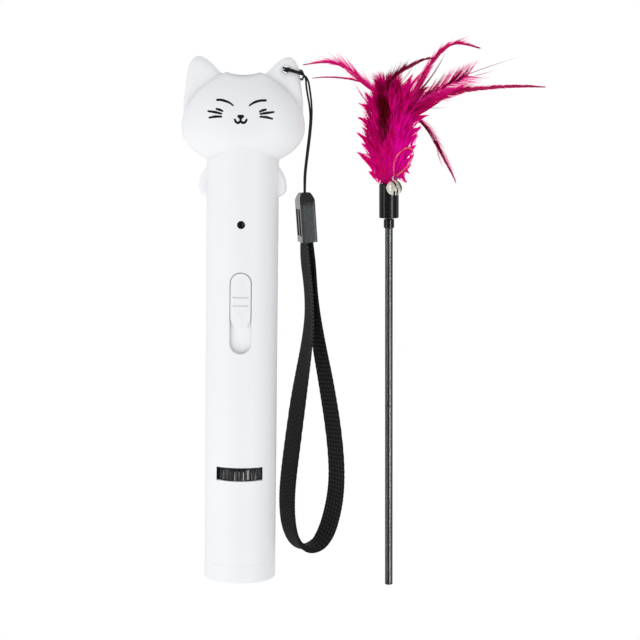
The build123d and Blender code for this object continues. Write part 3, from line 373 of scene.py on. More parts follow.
def bell_material():
    """Pale plated sheet with small dents, and two dark bands of painted shade where the slot and the rim of
    the halves lie in shadow.
    """
    s = Shader("bell_plate", metallic=0.45)
    centre = middle_of("bell_upper_half", "bell_lower_half")
    place = s.xyz(s.coords)
    reach = 0.0
    for axis, weight in enumerate(BELL_ACROSS):
        part = s.math("MULTIPLY", s.math("SUBTRACT", place[axis], centre[axis]), weight)
        reach = s.math("ADD", part, reach)
    shade_band_one, shade_band_two = [s.map(s.math("ABSOLUTE", s.math("SUBTRACT", reach, middle)), half, faded)
                     for middle, half, faded in BELL_SHADE_BANDS]
    plate = s.drifting(s.noise(330, 3), (0.80, 0.74, 0.60), (0.99, 0.96, 0.88))
    # Painted shade: within the two bands the plate turns nearly black.
    s.colour(s.mix(s.math("MINIMUM", shade_band_one, shade_band_two), (0.035, 0.030, 0.025), plate))
    dents = s.noise(330, 2)
    s.vary_roughness(dents, 0.14, 0.24)
    s.bump(dents, 0.0005, 0.4)
    return s.material


# The webbing's weave, in millimetres along and across the band.
TWILL_PITCH, CHEVRON_WIDTH, TWILL_SLOPE = 1.9, 2.5, 0.9
WARP_PITCH = 0.62
GRID_ALONG, GRID_ACROSS = 1.7, 1.8
STITCH_PITCH, STITCH_REACH = 1.5, (3.3, 4.0)
STITCH_FADE = (34.0, 62.0)  # how far from the clip the edge's stitches show


def webbing_material():
    """Flat black weave: a herringbone twill on one face, a dotted grid on the other, from the strip's UV."""
    s = Shader("webbing_weave", specular=0.3)
    uv = s.xyz(s.node("UVMap").outputs[0])
    along, across = uv["X"], uv["Y"]

    def wave(value, pitch):
        return s.math("SINE", s.math("MULTIPLY", value, math.tau / pitch))

    slant = s.math("ADD", along, s.math("MULTIPLY", s.math("PINGPONG", across, CHEVRON_WIDTH), TWILL_SLOPE))
    grid = s.math("MINIMUM", wave(along, GRID_ALONG), wave(across, GRID_ACROSS))
    side = s.node("Attribute")
    side.attribute_name = "inner_face"
    inner = side.outputs["Fac"]
    twill = s.math("SUBTRACT", s.math("MULTIPLY", wave(slant, TWILL_PITCH), 0.5), 0.35)
    outer_weave = s.math("MULTIPLY", twill, s.math("SUBTRACT", 1.0, inner))
    pattern = s.math("ADD", outer_weave, s.math("MULTIPLY", grid, inner))
    height = s.math("ADD", pattern, s.math("MULTIPLY", wave(across, WARP_PITCH), 0.35))
    tone = s.map(height, -1.3, 1.3)
    fibre = s.noise(5000, 2)
    lit = s.ramp(tone, (0.35, (0.0025, 0.0025, 0.003)), (0.85, (0.024, 0.024, 0.027)))
    woven = s.mix(s.map(fibre, DRIFT_LOW, DRIFT_HIGH, 0.0, 0.35), lit, (0.006, 0.006, 0.008))
    stitch = s.map(wave(slant, STITCH_PITCH), 0.2, 1.0)
    rim = s.math("MULTIPLY", s.map(s.math("ABSOLUTE", across), *STITCH_REACH),
                 s.map(along, *STITCH_FADE, 1.0, 0.0))
    s.colour(s.mix(s.math("MULTIPLY", rim, stitch), woven, (0.070, 0.070, 0.076)))
    s.roughness(s.map(tone, 0, 1, 0.85, 0.55))
    s.bump(s.math("ADD", tone, s.math("MULTIPLY", fibre, 0.3)), 0.00022, 0.8)
    return s.material


TRANSLUCENCY = 0.4


def feather_material(name, dark, mid, light):
    """Barbs: each strand carries its own tone, and the tone drifts along it."""
    s = Shader(name, rough=0.7, specular=0.06)
    tone = s.node("Attribute")
    tone.attribute_name = "tone"
    drift = s.math("MULTIPLY", s.noise(140, 2), 0.35)
    value = s.math("ADD", tone.outputs["Fac"], s.math("SUBTRACT", drift, 0.17))
    shade = s.ramp(value, (0.0, dark), (0.5, mid), (1.0, light))
    s.colour(shade)
    through = s.node("BsdfTranslucent", Color=shade)
    blend = s.node("MixShader")
    for i, part in enumerate((TRANSLUCENCY, s.bsdf.outputs[0], through.outputs[0])):
        s.set(blend, str(i), part)
    s.set(s.tree.nodes["Material Output"], "Surface", blend.outputs[0])
    return s.material


def gloss_black(name, dark, light, rough, **more):
    """Black with so little grain that a strip light draws one clean streak on it."""
    return varied(name, dark, light, rough=rough, bump=0.0000005, grain=300, **more)


def make_materials():
    m = {}
    m["shell"] = white_plastic("shell_white", soften=True)
    m["white"] = white_plastic("trim_white")
    m["black"] = gloss_black("black_plastic", (0.004, 0.004, 0.005), (0.009, 0.009, 0.011), (0.22, 0.26))
    m["sleeve"] = gloss_black("sleeve_vinyl", (0.003, 0.003, 0.004), (0.007, 0.007, 0.009), (0.25, 0.29),
                              scale=180, specular=0.38, stretch=(1, 0.15, 1))
    m["wheel"] = wheel_material()
    m["clip"] = clip_material()
    m["insert"] = varied("insert_plastic", (0.004, 0.004, 0.005), (0.010, 0.010, 0.012), rough=(0.3, 0.45))
    m["lens_dark"] = varied("indicator_glass", (0.002, 0.002, 0.003), (0.004, 0.004, 0.005),
                            rough=(0.28, 0.34), specular=0.2)
    m["clear"] = varied("clear_resin", (0.86, 0.89, 0.90), (0.93, 0.95, 0.96), rough=(0.03, 0.08),
                        Transmission_Weight=0.95)
    m["steel"] = brushed_steel("bright_steel", (0.50, 0.50, 0.52), (0.68, 0.68, 0.70))
    m["brass"] = brushed_steel("turned_brass", (0.62, 0.44, 0.18), (0.78, 0.58, 0.28),
                               stretch=(0.05, 1, 0.05))
    m["board"] = varied("solder_mask", (0.012, 0.10, 0.045), (0.02, 0.16, 0.07), scale=500,
                        rough=(0.25, 0.4))
    m["ceramic"] = varied("chip_ceramic", (0.25, 0.18, 0.12), (0.38, 0.29, 0.20), rough=(0.4, 0.6))
    m["wire_red"] = varied("wire_red", (0.42, 0.012, 0.010), (0.58, 0.02, 0.02), rough=(0.35, 0.45))
    m["led"] = varied("led_resin", (0.55, 0.07, 0.06), (0.72, 0.12, 0.10), rough=(0.08, 0.15))
    m["cell"] = varied("cell_sleeve", (0.03, 0.13, 0.34), (0.05, 0.19, 0.46), rough=(0.2, 0.3),
                       stretch=(1, 0.1, 1))
    m["foam"] = varied("foam", (0.03, 0.03, 0.03), (0.07, 0.07, 0.07), rough=(0.9, 1.0), bump=0.0002,
                       grain=3000)
    m["rod"] = brushed_steel("dark_rod", (0.12, 0.125, 0.13), (0.17, 0.175, 0.18), rough=(0.27, 0.31),
                             bump=0.0000002)
    m["inner_rod"] = brushed_steel("bright_rod", (0.28, 0.28, 0.29), (0.38, 0.38, 0.39), rough=(0.14, 0.2),
                                   bump=0.0000004)
    m["bell"] = bell_material()
    m["cord"] = varied("lanyard_braid", (0.003, 0.003, 0.004), (0.012, 0.012, 0.014), scale=2200,
                       rough=(0.5, 0.7), bump=0.0001, grain=2600, stretch=(1, 0.5, 1), specular=0.3)
    m["thread"] = varied("tie_thread", (0.66, 0.03, 0.005), (0.95, 0.24, 0.03), scale=900,
                         rough=(0.3, 0.5), bump=0.00005, grain=2600)
    m["ink"] = varied("face_ink", (0.002, 0.002, 0.003), (0.006, 0.006, 0.007), scale=400,
                      rough=(0.5, 0.65), specular=0.2)
    m["webbing"] = webbing_material()
    m["down"] = feather_material("down_magenta", (0.14, 0.0, 0.003), (0.84, 0.0, 0.22), (0.99, 0.0, 0.56))
    m["plume"] = feather_material("plume_crimson", (0.10, 0.0, 0.004), (0.66, 0.0, 0.13), (0.97, 0.02, 0.40))
    m["quill"] = varied("quill", (0.20, 0.002, 0.03), (0.42, 0.01, 0.10), scale=300, rough=(0.35, 0.5))
    return m


NODE_MATERIALS = {
    "shell": "front_shell rear_shell",
    "white": "end_bezel wand_socket slide_knob",
    "black": "lens_tube wheel_bracket slide_switch_lever wand_end_plug wand_collar control_chips clip_pin",
    "wheel": "pattern_wheel",
    "clip": "clip_housing",
    "insert": "clip_insert",
    "lens_dark": "indicator_lens",
    "clear": "projector_lens pattern_films collimator_lens",
    "steel": "wheel_axle detent_spring slide_switch_body charging_socket shell_screws board_screws "
             "battery_tabs laser_diode",
    "brass": "laser_module",
    "board": "laser_driver_board main_circuit_board",
    "ceramic": "board_passives",
    "wire_red": "laser_wire_red",
    "cord": "laser_wire_black",
    "led": "indicator_led",
    "cell": "battery_cell",
    "foam": "battery_foam",
    "rod": "wand_outer_tube wand_tip_rod",
    "inner_rod": "wand_middle_tube",
    "sleeve": "feather_sleeve",
    "bell": "bell_upper_half bell_lower_half bell_clapper",
}


def dress_nodes(m):
    for key, names in NODE_MATERIALS.items():
        for name in names.split():
            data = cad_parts[name].data
            data.materials.clear()
            data.materials.append(m[key])
            data.polygons.foreach_set("material_index", [0] * len(data.polygons))


# ---- meshes
def new_mesh(name, verts, faces, material):
    mesh = bpy.data.meshes.new(name)
    mesh.from_pydata([tuple(v) for v in verts], [], faces)
    mesh.update()
    mesh.polygons.foreach_set("use_smooth", [True] * len(mesh.polygons))
    mesh.materials.append(material)
    return new_object(name, mesh)


def nurbs(name, points, radius=0.0, material=None, resolution=6):
    """A round cord along the smooth line that the points control."""
    curve = bpy.data.curves.new(name, "CURVE")
    curve.dimensions = "3D"
    curve.resolution_u = resolution
    curve.bevel_depth = radius
    curve.bevel_resolution = 4
    curve.use_fill_caps = True
    spline = curve.splines.new("NURBS")
    spline.points.add(len(points) - 1)
    for target, point in zip(spline.points, points):
        target.co = (*point, 1)
    spline.order_u = 3
    spline.use_endpoint_u = True
    if material:
        curve.materials.append(material)
    return new_object(name, curve)


def curve_line(points, resolution=6):
    """The smooth line itself, as Blender evaluates it."""
    bare = nurbs("bare_line", points, resolution=resolution)
    depsgraph = bpy.context.evaluated_depsgraph_get()
    mesh = bpy.data.meshes.new_from_object(bare.evaluated_get(depsgraph))
    line = [v.co.copy() for v in mesh.vertices]
    bpy.data.meshes.remove(mesh)
    bpy.data.objects.remove(bare)
    return line


def tube_faces(rows, ring):
    """The faces of a tube whose points lie ring by ring, with a cap at each end."""
    faces = []
    for i in range(rows - 1):
        for k in range(ring):
            a, b = i * ring + k, i * ring + (k + 1) % ring
            faces.append((a, b, b + ring, a + ring))
    last = (rows - 1) * ring
    return faces + [tuple(range(ring))[::-1], tuple(range(last, last + ring))]


def line_length(points):
    return sum((b - a).length for a, b in zip(points, points[1:]))


def direction_at(points, i):
    """The way a line runs at one of its points."""
    return (points[min(i + 1, len(points) - 1)] - points[max(i - 1, 0)]).normalized()


def spline_points(points, count):
    """A smooth line through a few points, as count points."""
    vectors = [Vector(p) for p in points]
    ends = [2 * vectors[0] - vectors[1]] + vectors + [2 * vectors[-1] - vectors[-2]]
    out = []
    for i in range(count):
        t = i / (count - 1) * (len(vectors) - 1)
        k = min(int(t), len(vectors) - 2)
        u = t - k
        a, b, c, d = ends[k:k + 4]
        bend, twist = 2 * a - 5 * b + 4 * c - d, 3 * b - a - 3 * c + d
        out.append(0.5 * (2 * b + (c - a) * u + bend * u**2 + twist * u**3))
    return out


# ---- the printed face
HEAD_Y, HEAD_HALF_WIDTH, CROWN_HEIGHT, FACE_DEPTH = 178.3, 24.0, 22.4, 16.0
INK_LIFT = 0.035
STROKE_POINTS, CAP_SIDES = 25, 20
# Each stroke: its points (x, y), and its width at the start, the middle and the end.
FACE_STROKES = [
    ([(-9.6, 189.2), (-8.2, 189.25), (-6.9, 188.95), (-4.9, 188.25), (-3.4, 187.2)], 0.86, 0.98, 0.55),
    ([(2.9, 187.2), (3.9, 188.0), (5.2, 188.65), (7.0, 189.15), (9.0, 189.25)], 0.58, 0.95, 0.86),
    ([(-9.75, 185.75), (-8.6, 185.5), (-7.4, 185.0)], 0.80, 1.0, 0.64),
    ([(-13.0, 184.85), (-10.4, 184.55), (-7.9, 184.0)], 0.73, 1.0, 0.73),
    ([(-12.5, 182.4), (-10.3, 182.85), (-7.9, 182.9)], 0.70, 1.0, 0.73),
    ([(6.8, 184.95), (7.9, 185.45), (9.1, 185.75)], 0.64, 1.0, 0.80),
    ([(7.1, 184.1), (9.6, 184.5), (12.1, 184.85)], 0.73, 1.0, 0.73),
    ([(7.1, 183.05), (9.4, 182.85), (11.6, 182.3)], 0.73, 1.0, 0.70),
    ([(-2.65, 181.85), (-2.25, 181.0), (-1.45, 180.65), (-0.7, 181.0), (-0.42, 181.7)], 0.80, 1.0, 0.80),
    ([(-0.42, 181.7), (-0.15, 181.0), (0.6, 180.65), (1.4, 181.0), (1.85, 181.85)], 0.80, 1.0, 0.80),
    ([(-0.42, 182.6), (-0.42, 181.5)], 0.89, 0.89, 0.89),
    ([(-1.1, 183.1), (-0.42, 182.9), (0.25, 183.1)], 1.25, 1.85, 1.25),
]


def face_point(x, y):
    """A point of the ink, just off the upper half of the head's ellipsoid."""
    inside = 1 - (x / HEAD_HALF_WIDTH) ** 2 - ((y - HEAD_Y) / CROWN_HEIGHT) ** 2
    return P(x, y, TUBE_RADIUS + FACE_DEPTH * math.sqrt(max(0.0, inside)) + INK_LIFT)


def printed_face(material):
    verts, faces = [], []

    def place(x, y):
        verts.append(face_point(x, y))
        return len(verts) - 1

    for points, start, middle, end in FACE_STROKES:
        line = spline_points([(x, y, 0) for x, y in points], STROKE_POINTS)
        rows = []
        for i, p in enumerate(line):
            t = i / (len(line) - 1)
            width = start + (middle - start) * 2 * t if t < 0.5 else middle + (end - middle) * (2 * t - 1)
            along = direction_at(line, i)
            across = Vector((-along.y, along.x, 0)) * width / 2
            rows.append([place(*(p + across * s).xy) for s in (-1, -0.33, 0.33, 1)])
        for a, b in zip(rows, rows[1:]):
            faces.extend((a[k], a[k + 1], b[k + 1], b[k]) for k in range(3))
        for p, width in ((line[0], start), (line[-1], end)):
            centre = place(p.x, p.y)
            angles = [k * math.tau / CAP_SIDES for k in range(CAP_SIDES)]
            ring = [place(p.x + width / 2 * math.cos(a), p.y + width / 2 * math.sin(a)) for a in angles]
            faces.extend((centre, ring[k], ring[(k + 1) % CAP_SIDES]) for k in range(CAP_SIDES))
    obj = new_mesh("face_print", verts, faces, material)
    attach(obj, "torch")


# ---- strap
CORD_RADIUS = 0.38
CORD_POINTS = [
    (24.1, 151.4, 6.15), (24, 155, 6.25), (23.95, 160, 6.3), (24.72, 167.5, 6.65), (25.72, 176.5, 7.4),
    (26.15, 182.5, 8.3), (25.7, 187.4, 9.9), (24.9, 191.4, 11.8), (24.3, 195.2, 15.2), (24.3, 197.4, 17.2),
    (23.5, 199.2, 18.3), (22.3, 199.95, 18.65), (20.4, 200.5, 18.65), (18, 201.2, 18.6),
    (15.5, 201.75, 17.9), (15.2, 201.7, 13.9), (15.9, 201.7, 11), (17.4, 201.6, 9.4), (20.2, 201.2, 9),
    (22.1, 200.7, 10.6), (22.4, 200.7, 13.6), (22.4, 200.9, 17.1), (22.8, 200.4, 19.5),
    (23.3, 199.3, 20.1), (23.4, 198.4, 19.3), (23, 197.9, 16.4), (22.9, 197.3, 13.3), (22.6, 197.2, 10.4),
    (20.8, 198.2, 8.9), (18.4, 199.7, 9.1), (16.6, 200.4, 10.8), (15.9, 200.7, 13.9), (15.5, 200.9, 17.8),
    (18.2, 200.55, 18.95), (20.4, 199.95, 19.25), (22.3, 199.4, 19.2), (23.9, 198.8, 18.9),
    (25.2, 197, 16.6), (25.8, 193.3, 13.2), (26.5, 188.4, 10.8), (26.7, 183, 9.5), (26.15, 175.5, 8.2),
    (25.14, 167, 7.35), (24.38, 160, 7), (24.35, 155, 7), (24.25, 151.4, 6.97),
]


def lanyard(material):
    points = [P(*p) for p in CORD_POINTS]
    obj = nurbs("lanyard_loop", points, CORD_RADIUS / 1000, material)
    length = line_length(curve_line(points))
    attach(obj, "torch")
    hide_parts("lanyard_cord")


# Middle of the band (x, y), its lean to the left in degrees, its lift off the table.
WEB_POINTS = [
    (24.15, 135.5, 13.5, 1.77), (24.3, 132.7, 15.5, 1.75), (24.5, 128, 19, 0.85), (25, 123.2, 20, 0.45),
    (25.7, 118, 19, 0.15), (26.4, 111, 19, 0.02), (26.6, 104, 20, 0.02), (26.2, 97, 23, 0.02),
    (25.35, 89.4, 26.5, 0.02), (23.9, 79.4, 31.5, 0.02), (22.5, 69.5, 36, 0.02), (21.1, 58, 37.5, 0.02),
    (19.8, 47, 38, 0.02), (18.75, 37, 38, 0.02), (18.35, 28.5, 38, 0.02), (18.85, 20.6, 37, 0.02),
    (20.2, 15, 34, 0.02), (22, 11.9, 29, 0.02), (24.6, 10.1, 15, 0.02), (28.1, 9.7, -8, 0.02),
    (31.4, 11.2, -28, 0.02), (34.1, 15.4, -37.5, 0.02), (36, 21, -39, 0.02), (37.7, 29.3, -38.5, 0.02),
    (38.35, 38, -37, 0.02), (37.9, 48, -37.5, 0.02), (36.45, 60, -37.5, 0.02), (34.75, 70.1, -37, 0.02),
    (33, 79.9, -35.5, 0.02), (31.05, 89.5, -33, 0.02), (29.7, 98, -28, 0.02), (28.6, 106.5, -23, 0.02),
    (27.85, 113.5, -21, 0.1), (27.35, 119.5, -21, 0.3), (26.95, 125.5, -20, 0.65),
    (26.5, 131, -16.5, 1.45), (26.2, 135.4, -13, 1.77),
]
WEB_WIDTH, WEB_THICKNESS = 10.0, 1.0
WEB_RESOLUTION = 14  # steps between two of the band's points
WEB_STEPS = 18  # steps across each face
# The band is a little thinner from RIM outwards, and its edges are rounded from EDGE outwards.
RIM, RIM_SHARE, EDGE, EDGE_SHARE = 0.8, 0.93, 0.94, 0.35
PICOT, PICOT_FROM = 0.0002, 0.97  # how far the selvedge waves in and out, and where it starts
# The band bunches up where it turns back: the middle of that, how far it reaches, how much it thickens.
GATHER, GATHER_REACH, GATHER_SHARE = (26.4, 9.9, 5.0), 0.0045, 1.6


def web_section():
    """The band's section as (across, out) pairs in metres: one face, then the other."""
    section = []
    for side in (1, -1):
        for k in range(WEB_STEPS + 1):
            u = side * (-1 + 2 * k / WEB_STEPS)
            rim = 1.0 if abs(u) < RIM else RIM_SHARE
            fall = math.sqrt(max(0.0, 1 - max(0.0, (abs(u) - EDGE) / (1 - EDGE)) ** 2))
            out = WEB_THICKNESS / 2 * rim * (EDGE_SHARE + (1 - EDGE_SHARE) * fall)
            section.append((u * WEB_WIDTH / 2000, side * out / 1000))
    return section


def web_lines():
    """The band's middle line and the line of its upper edge."""
    raw = []
    for x, y, lean, lift in WEB_POINTS:
        tilt = math.radians(abs(lean))
        raw.append(Vector((x, y, lift + (WEB_WIDTH * math.cos(tilt) + WEB_THICKNESS * math.sin(tilt)) / 2)))
    edges = []
    for i, (point, (_, _, lean, _)) in enumerate(zip(raw, WEB_POINTS)):
        along = direction_at(raw, i)
        left = UP.cross(along).normalized()
        across = along.cross(left) * math.cos(math.radians(lean)) + left * math.sin(math.radians(lean))
        edges.append(P(*(point + across * WEB_WIDTH / 2)))
    return curve_line([P(*point) for point in raw], WEB_RESOLUTION), curve_line(edges, WEB_RESOLUTION)


def wrist_strap(material):
    line, edge = web_lines()
    section = web_section()
    verts, uvs, inner = [], [], []
    travelled = 0.0
    for i, (c, e) in enumerate(zip(line, edge)):
        if i:
            travelled += (c - line[i - 1]).length * 1000
        along = direction_at(line, i)
        across = (e - c).normalized()
        across = (across - along * across.dot(along)).normalized()
        out = along.cross(across)
        bunch = 1 + GATHER_SHARE * math.exp(-((c - P(*GATHER)).length / GATHER_REACH) ** 2)
        wave = PICOT * math.sin(travelled * math.tau / TWILL_PITCH)
        for u, w in section:
            picot = wave if abs(u) > WEB_WIDTH / 2000 * PICOT_FROM else 0.0
            verts.append(c + across * (u + math.copysign(picot, u)) + out * w * bunch)
            uvs.append((travelled, u * 1000))
            inner.append(1.0 if w < 0 else 0.0)
    obj = new_mesh("wrist_strap", verts, tube_faces(len(line), len(section)), material)
    layer = obj.data.uv_layers.new(name="weave")
    for loop in obj.data.loops:
        layer.data[loop.index].uv = uvs[loop.vertex_index]
    attribute = obj.data.attributes.new("inner_face", "FLOAT", "POINT")
    attribute.data.foreach_set("value", inner)
    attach(obj, "torch")
    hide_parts("wrist_webbing")


# ---- feathers
class Strands:
    """Collects thin tapered ribbons, each with its own tone, into one mesh."""

    TIP_SHARE, TAPER = 0.12, 0.7    # the tip's width against the root's, and how fast it gets there

    def __init__(self):
        self.verts, self.faces, self.tones = [], [], []

    def add(self, points, width, tone, tone_end, normal):
        """The points and the width at the root are in millimetres; the tone drifts to tone_end."""
        first = len(self.verts)
        last = len(points) - 1
        for i, p in enumerate(points):
            t = i / last
            along = direction_at(points, i)
            across = along.cross(normal)
            if across.length < 1e-6:
                across = along.cross(Vector((0.3, 0.2, 1)))
            across.normalize()
            half = width / 2 * (self.TIP_SHARE + (1 - self.TIP_SHARE) * (1 - t) ** self.TAPER)
            self.verts += [P(*(p - across * half)), P(*(p + across * half))]
            self.tones += [tone + (tone_end - tone) * t] * 2
        for i in range(last):
            a = first + 2 * i
            self.faces.append((a, a + 1, a + 3, a + 2))

    def wisp(self, rng, root, tip, count, spread, width, tone, bow):
        """Barbs that leave a patch round the root, lie together and end in one point."""
        root, tip = Vector(root), Vector(tip)
        side = (tip - root).cross(UP)
        for _ in range(count):
            start = root + Vector([rng.gauss(0, spread) for _ in range(3)])
            end = tip + (root - tip) * rng.uniform(0, 0.25) + Vector([rng.gauss(0, 0.22) for _ in range(3)])
            shares = [j / 5 for j in range(6)]
            points = [under_loop(start.lerp(end, t) + side * bow * 4 * t * (1 - t)) for t in shares]
            shade = tone + rng.uniform(-0.14, 0.14)
            self.add(points, width * rng.uniform(0.7, 1.3), shade, shade + 0.05, UP)

    def finish(self, name, material, node):
        obj = new_mesh(name, self.verts, self.faces, material)
        attribute = obj.data.attributes.new("tone", "FLOAT", "POINT")
        attribute.data.foreach_set("value", self.tones)
        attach(obj, "wand_tip")
        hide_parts(node)


# Rings of the down: distance beyond the sleeve, sideways shift, half width, lift, half height.
DOWN_RINGS = (
    (0, 0, 3.2, 0, 3.2), (4.6, 0, 6.6, 1.2, 4.7), (9.6, 0, 8.8, 2.5, 6.1), (17.6, 0.1, 10, 3.6, 7.2),
    (25.6, 0.8, 11.2, 4.2, 7.8), (32.6, 1.6, 9.6, 4.4, 7.2), (38.4, -0.6, 3.6, 4.2, 3.4),
)
DOWN_REACH = 38.0  # the barbs start within this distance beyond the sleeve
CORE_ROWS, CORE_SIDES = 26, 28
SPRAYS, SPRAY_BARBS = 560, 11
TUFT_SPREAD, TUFT_WIDTH = 1.1, 0.42
SLEEVE_END = 162.4  # along the wand
WAND_FOOT = (60.05, -5.74)  # the rod's lower end on the table (x, y)
# The wand rests on the rod's foot and on the start of the sleeve, so its axis climbs from one to the other.
ROD_RADIUS, SLEEVE_RADIUS, SLEEVE_START = 1.55, 3.9, 149.0
WAND_YAW = math.radians(0.914)
WAND_PITCH = math.asin((SLEEVE_RADIUS - ROD_RADIUS) / SLEEVE_START)
LOWEST = 0.25  # the barbs keep this far above the table
# The tie loop lies beyond LOOP_X and short of LOOP_Y; its underside rises from LOOP_HEIGHT at LOOP_START.
LOOP_X, LOOP_Y, LOOP_START, LOOP_HEIGHT, LOOP_RISE = 58.4, 174.0, 160.0, 11.0, 0.12


def on_wand(x, t, z):
    """A point given by its places across, along and above the wand's own axis."""
    y = t * math.cos(WAND_PITCH) - z * math.sin(WAND_PITCH)
    up = t * math.sin(WAND_PITCH) + z * math.cos(WAND_PITCH)
    return Vector((WAND_FOOT[0] + x * math.cos(WAND_YAW) - y * math.sin(WAND_YAW),
                   WAND_FOOT[1] + x * math.sin(WAND_YAW) + y * math.cos(WAND_YAW), ROD_RADIUS + up))


def ring_at(reach):
    """The down's ring at a distance beyond the sleeve, between the two rings next to it."""
    for a, b in zip(DOWN_RINGS, DOWN_RINGS[1:]):
        if reach <= b[0]:
            u = (reach - a[0]) / (b[0] - a[0])
            u = u * u * (3 - 2 * u)
            return [p + (q - p) * u for p, q in zip(a[1:], b[1:])]
    return DOWN_RINGS[-1][1:]


def down_point(reach, angle, scale):
    shift, half_width, lift, half_height = ring_at(reach)
    x = shift + half_width * scale * math.cos(angle)
    z = lift + half_height * scale * math.sin(angle)
    return on_wand(x, SLEEVE_END + reach, z)


def under_loop(p):
    """The barbs stay above the table and below the bell's tie loop."""
    height = max(p.z, LOWEST)
    if p.x > LOOP_X and p.y < LOOP_Y:
        height = min(height, LOOP_HEIGHT + LOOP_RISE * (p.y - LOOP_START))
    return Vector((p.x, p.y, height))


def core_tone(p):
    """Dark red barbs run up the middle of the down; the right of it is the brightest magenta."""
    near = math.exp(-((p.x - 55.2) / 1.9) ** 2 - ((p.y - 181.5) / 10.5) ** 2)
    right = min(max((p.x - 56.5) / 4, 0.0), 1.0)
    high = min(max((p.y - 178) / 9, 0.0), 1.0)
    return 0.58 + right * (0.32 - 0.46 * high) - 0.10 * high - 0.85 * near


# Pointed tufts that stand out of the down: root, tip, how many barbs, tone.
TUFTS = (
    ((51.5, 178.5, 8), (44.6, 182.9, 8), 46, 0.52), ((52, 175, 8.5), (46.4, 179, 9), 40, 0.6),
    ((51, 172, 7), (44.2, 177, 7), 46, 0.48), ((52, 168.5, 8), (46.2, 172.6, 8), 42, 0.62),
    ((51.5, 165, 7), (44.6, 169.4, 7), 46, 0.55), ((52.5, 163, 6), (46.4, 167.2, 6), 40, 0.66),
    ((53, 159.5, 5), (49, 161.6, 5), 26, 0.6), ((51.5, 186, 8), (44.6, 188.4, 8), 24, 0.55),
    ((51.5, 187, 9), (47.2, 193, 10), 46, 0.55), ((53, 188, 9.5), (50.6, 195.2, 10.5), 46, 0.42),
    ((58.5, 187, 11), (59, 194.4, 12), 50, 0.7), ((60, 187, 11.5), (62.2, 196.4, 12.4), 60, 0.66),
    ((61.5, 187.5, 11.5), (65.4, 198.4, 12.6), 46, 0.62),
    ((62.5, 187.5, 11.5), (68.6, 198.2, 12.4), 34, 0.45), ((64, 187, 11), (71.4, 199.8, 12.2), 22, 0.3),
    ((65, 185.5, 9), (72.6, 187.6, 9), 40, 0.45), ((65, 181, 8.5), (72.6, 184.2, 8.6), 40, 0.5),
    ((65, 176.5, 8), (69.8, 179.6, 8), 40, 0.72), ((64.5, 172.5, 8), (68.4, 176.4, 8), 40, 0.84),
    ((63.5, 168.5, 7), (67.8, 172.6, 7), 44, 0.88), ((62.5, 164.5, 6.5), (67, 168.6, 6.5), 44, 0.9),
    ((61, 160.8, 5.5), (66.2, 164.4, 5.5), 44, 0.88), ((61, 166, 5.5), (65.6, 160.6, 5), 40, 0.84),
    ((60, 165, 5), (63.8, 158, 4.6), 34, 0.8), ((53.5, 164.5, 5), (51.6, 158.6, 4.6), 40, 0.72),
    ((55, 163, 5), (53.2, 156.6, 4.6), 34, 0.7), ((56.5, 164, 3.8), (53.8, 155.4, 4), 50, 0.66),
    ((57.5, 163, 3.8), (56, 155, 4.4), 40, 0.62), ((60, 164, 4), (64.6, 157.2, 4.2), 50, 0.8),
    ((60, 188, 11), (66, 200.2, 12), 40, 0.5), ((61, 188, 11), (69.6, 201.2, 12), 30, 0.62),
    ((62, 187, 10.5), (72.6, 195.4, 11), 60, 0.3), ((64, 186, 10), (76, 194.2, 10.6), 60, 0.22),
    ((66, 186.6, 10), (81.6, 195.2, 10.2), 60, 0.26), ((65, 184.6, 9), (77.6, 190, 9.4), 44, 0.3),
    ((70, 189, 10), (86.4, 195.6, 10), 44, 0.36),
)


def down_core(strands):
    """A closed lumpy middle, so that no daylight shows through the down."""
    for i in range(CORE_ROWS):
        reach = DOWN_REACH * i / (CORE_ROWS - 1)
        for k in range(CORE_SIDES):
            angle = math.tau * k / CORE_SIDES
            spot = Vector((reach * 0.25, math.cos(angle) * 1.6, math.sin(angle) * 1.6))
            p = under_loop(down_point(reach, angle, 0.74 + 0.12 * noise.noise(spot)))
            strands.verts.append(P(*p))
            strands.tones.append(core_tone(p) - 0.12)
    strands.faces += tube_faces(CORE_ROWS, CORE_SIDES)


def spray(strands, rng):
    """Barbs that leave the middle at a shallow angle."""
    reach = DOWN_REACH * rng.random() ** 0.8
    angle = rng.uniform(0, math.tau)
    if math.sin(angle) < -0.3 and rng.random() < 0.5:
        angle = -angle
    root = down_point(reach, angle, rng.uniform(0.55, 0.80))
    skin = down_point(min(reach + 3, DOWN_REACH + 0.2), angle, 1.12)
    out = (skin - root).normalized()
    forward = Vector((-0.016, 1.0, 0.016))
    base_tone = core_tone(root) + rng.uniform(-0.22, 0.25)
    if root.x < 52:
        base_tone -= 0.06
    side = rng.uniform(-0.35, 0.35)
    for _ in range(SPRAY_BARBS):
        spread = Vector((rng.uniform(-0.5, 0.5) + side, rng.uniform(-0.3, 0.5), rng.uniform(-0.4, 0.4)))
        direction = out * rng.uniform(0.45, 1.0) + forward * rng.uniform(0.6, 1.1) + spread * 0.5
        direction.normalize()
        length = rng.uniform(3.2, 7.4)
        bend = Vector((rng.uniform(-1, 1), rng.uniform(-0.2, 1), rng.uniform(-1, 1))) * 0.9
        points = [under_loop(root + direction * length * t + bend * t * t) for t in (0, 0.25, 0.5, 0.75, 1)]
        tone = base_tone + rng.uniform(-0.12, 0.12)
        strands.add(points, rng.uniform(0.30, 0.62), tone, tone + 0.12, out)


def marabou(material):
    strands = Strands()
    rng = random.Random(5)
    down_core(strands)
    for _ in range(SPRAYS):
        spray(strands, rng)
    for root, tip, count, tone in TUFTS:
        strands.wisp(rng, root, tip, count, TUFT_SPREAD, TUFT_WIDTH, tone, rng.uniform(-0.06, 0.06))
    strands.finish("marabou_down", material, "marabou_bundle")


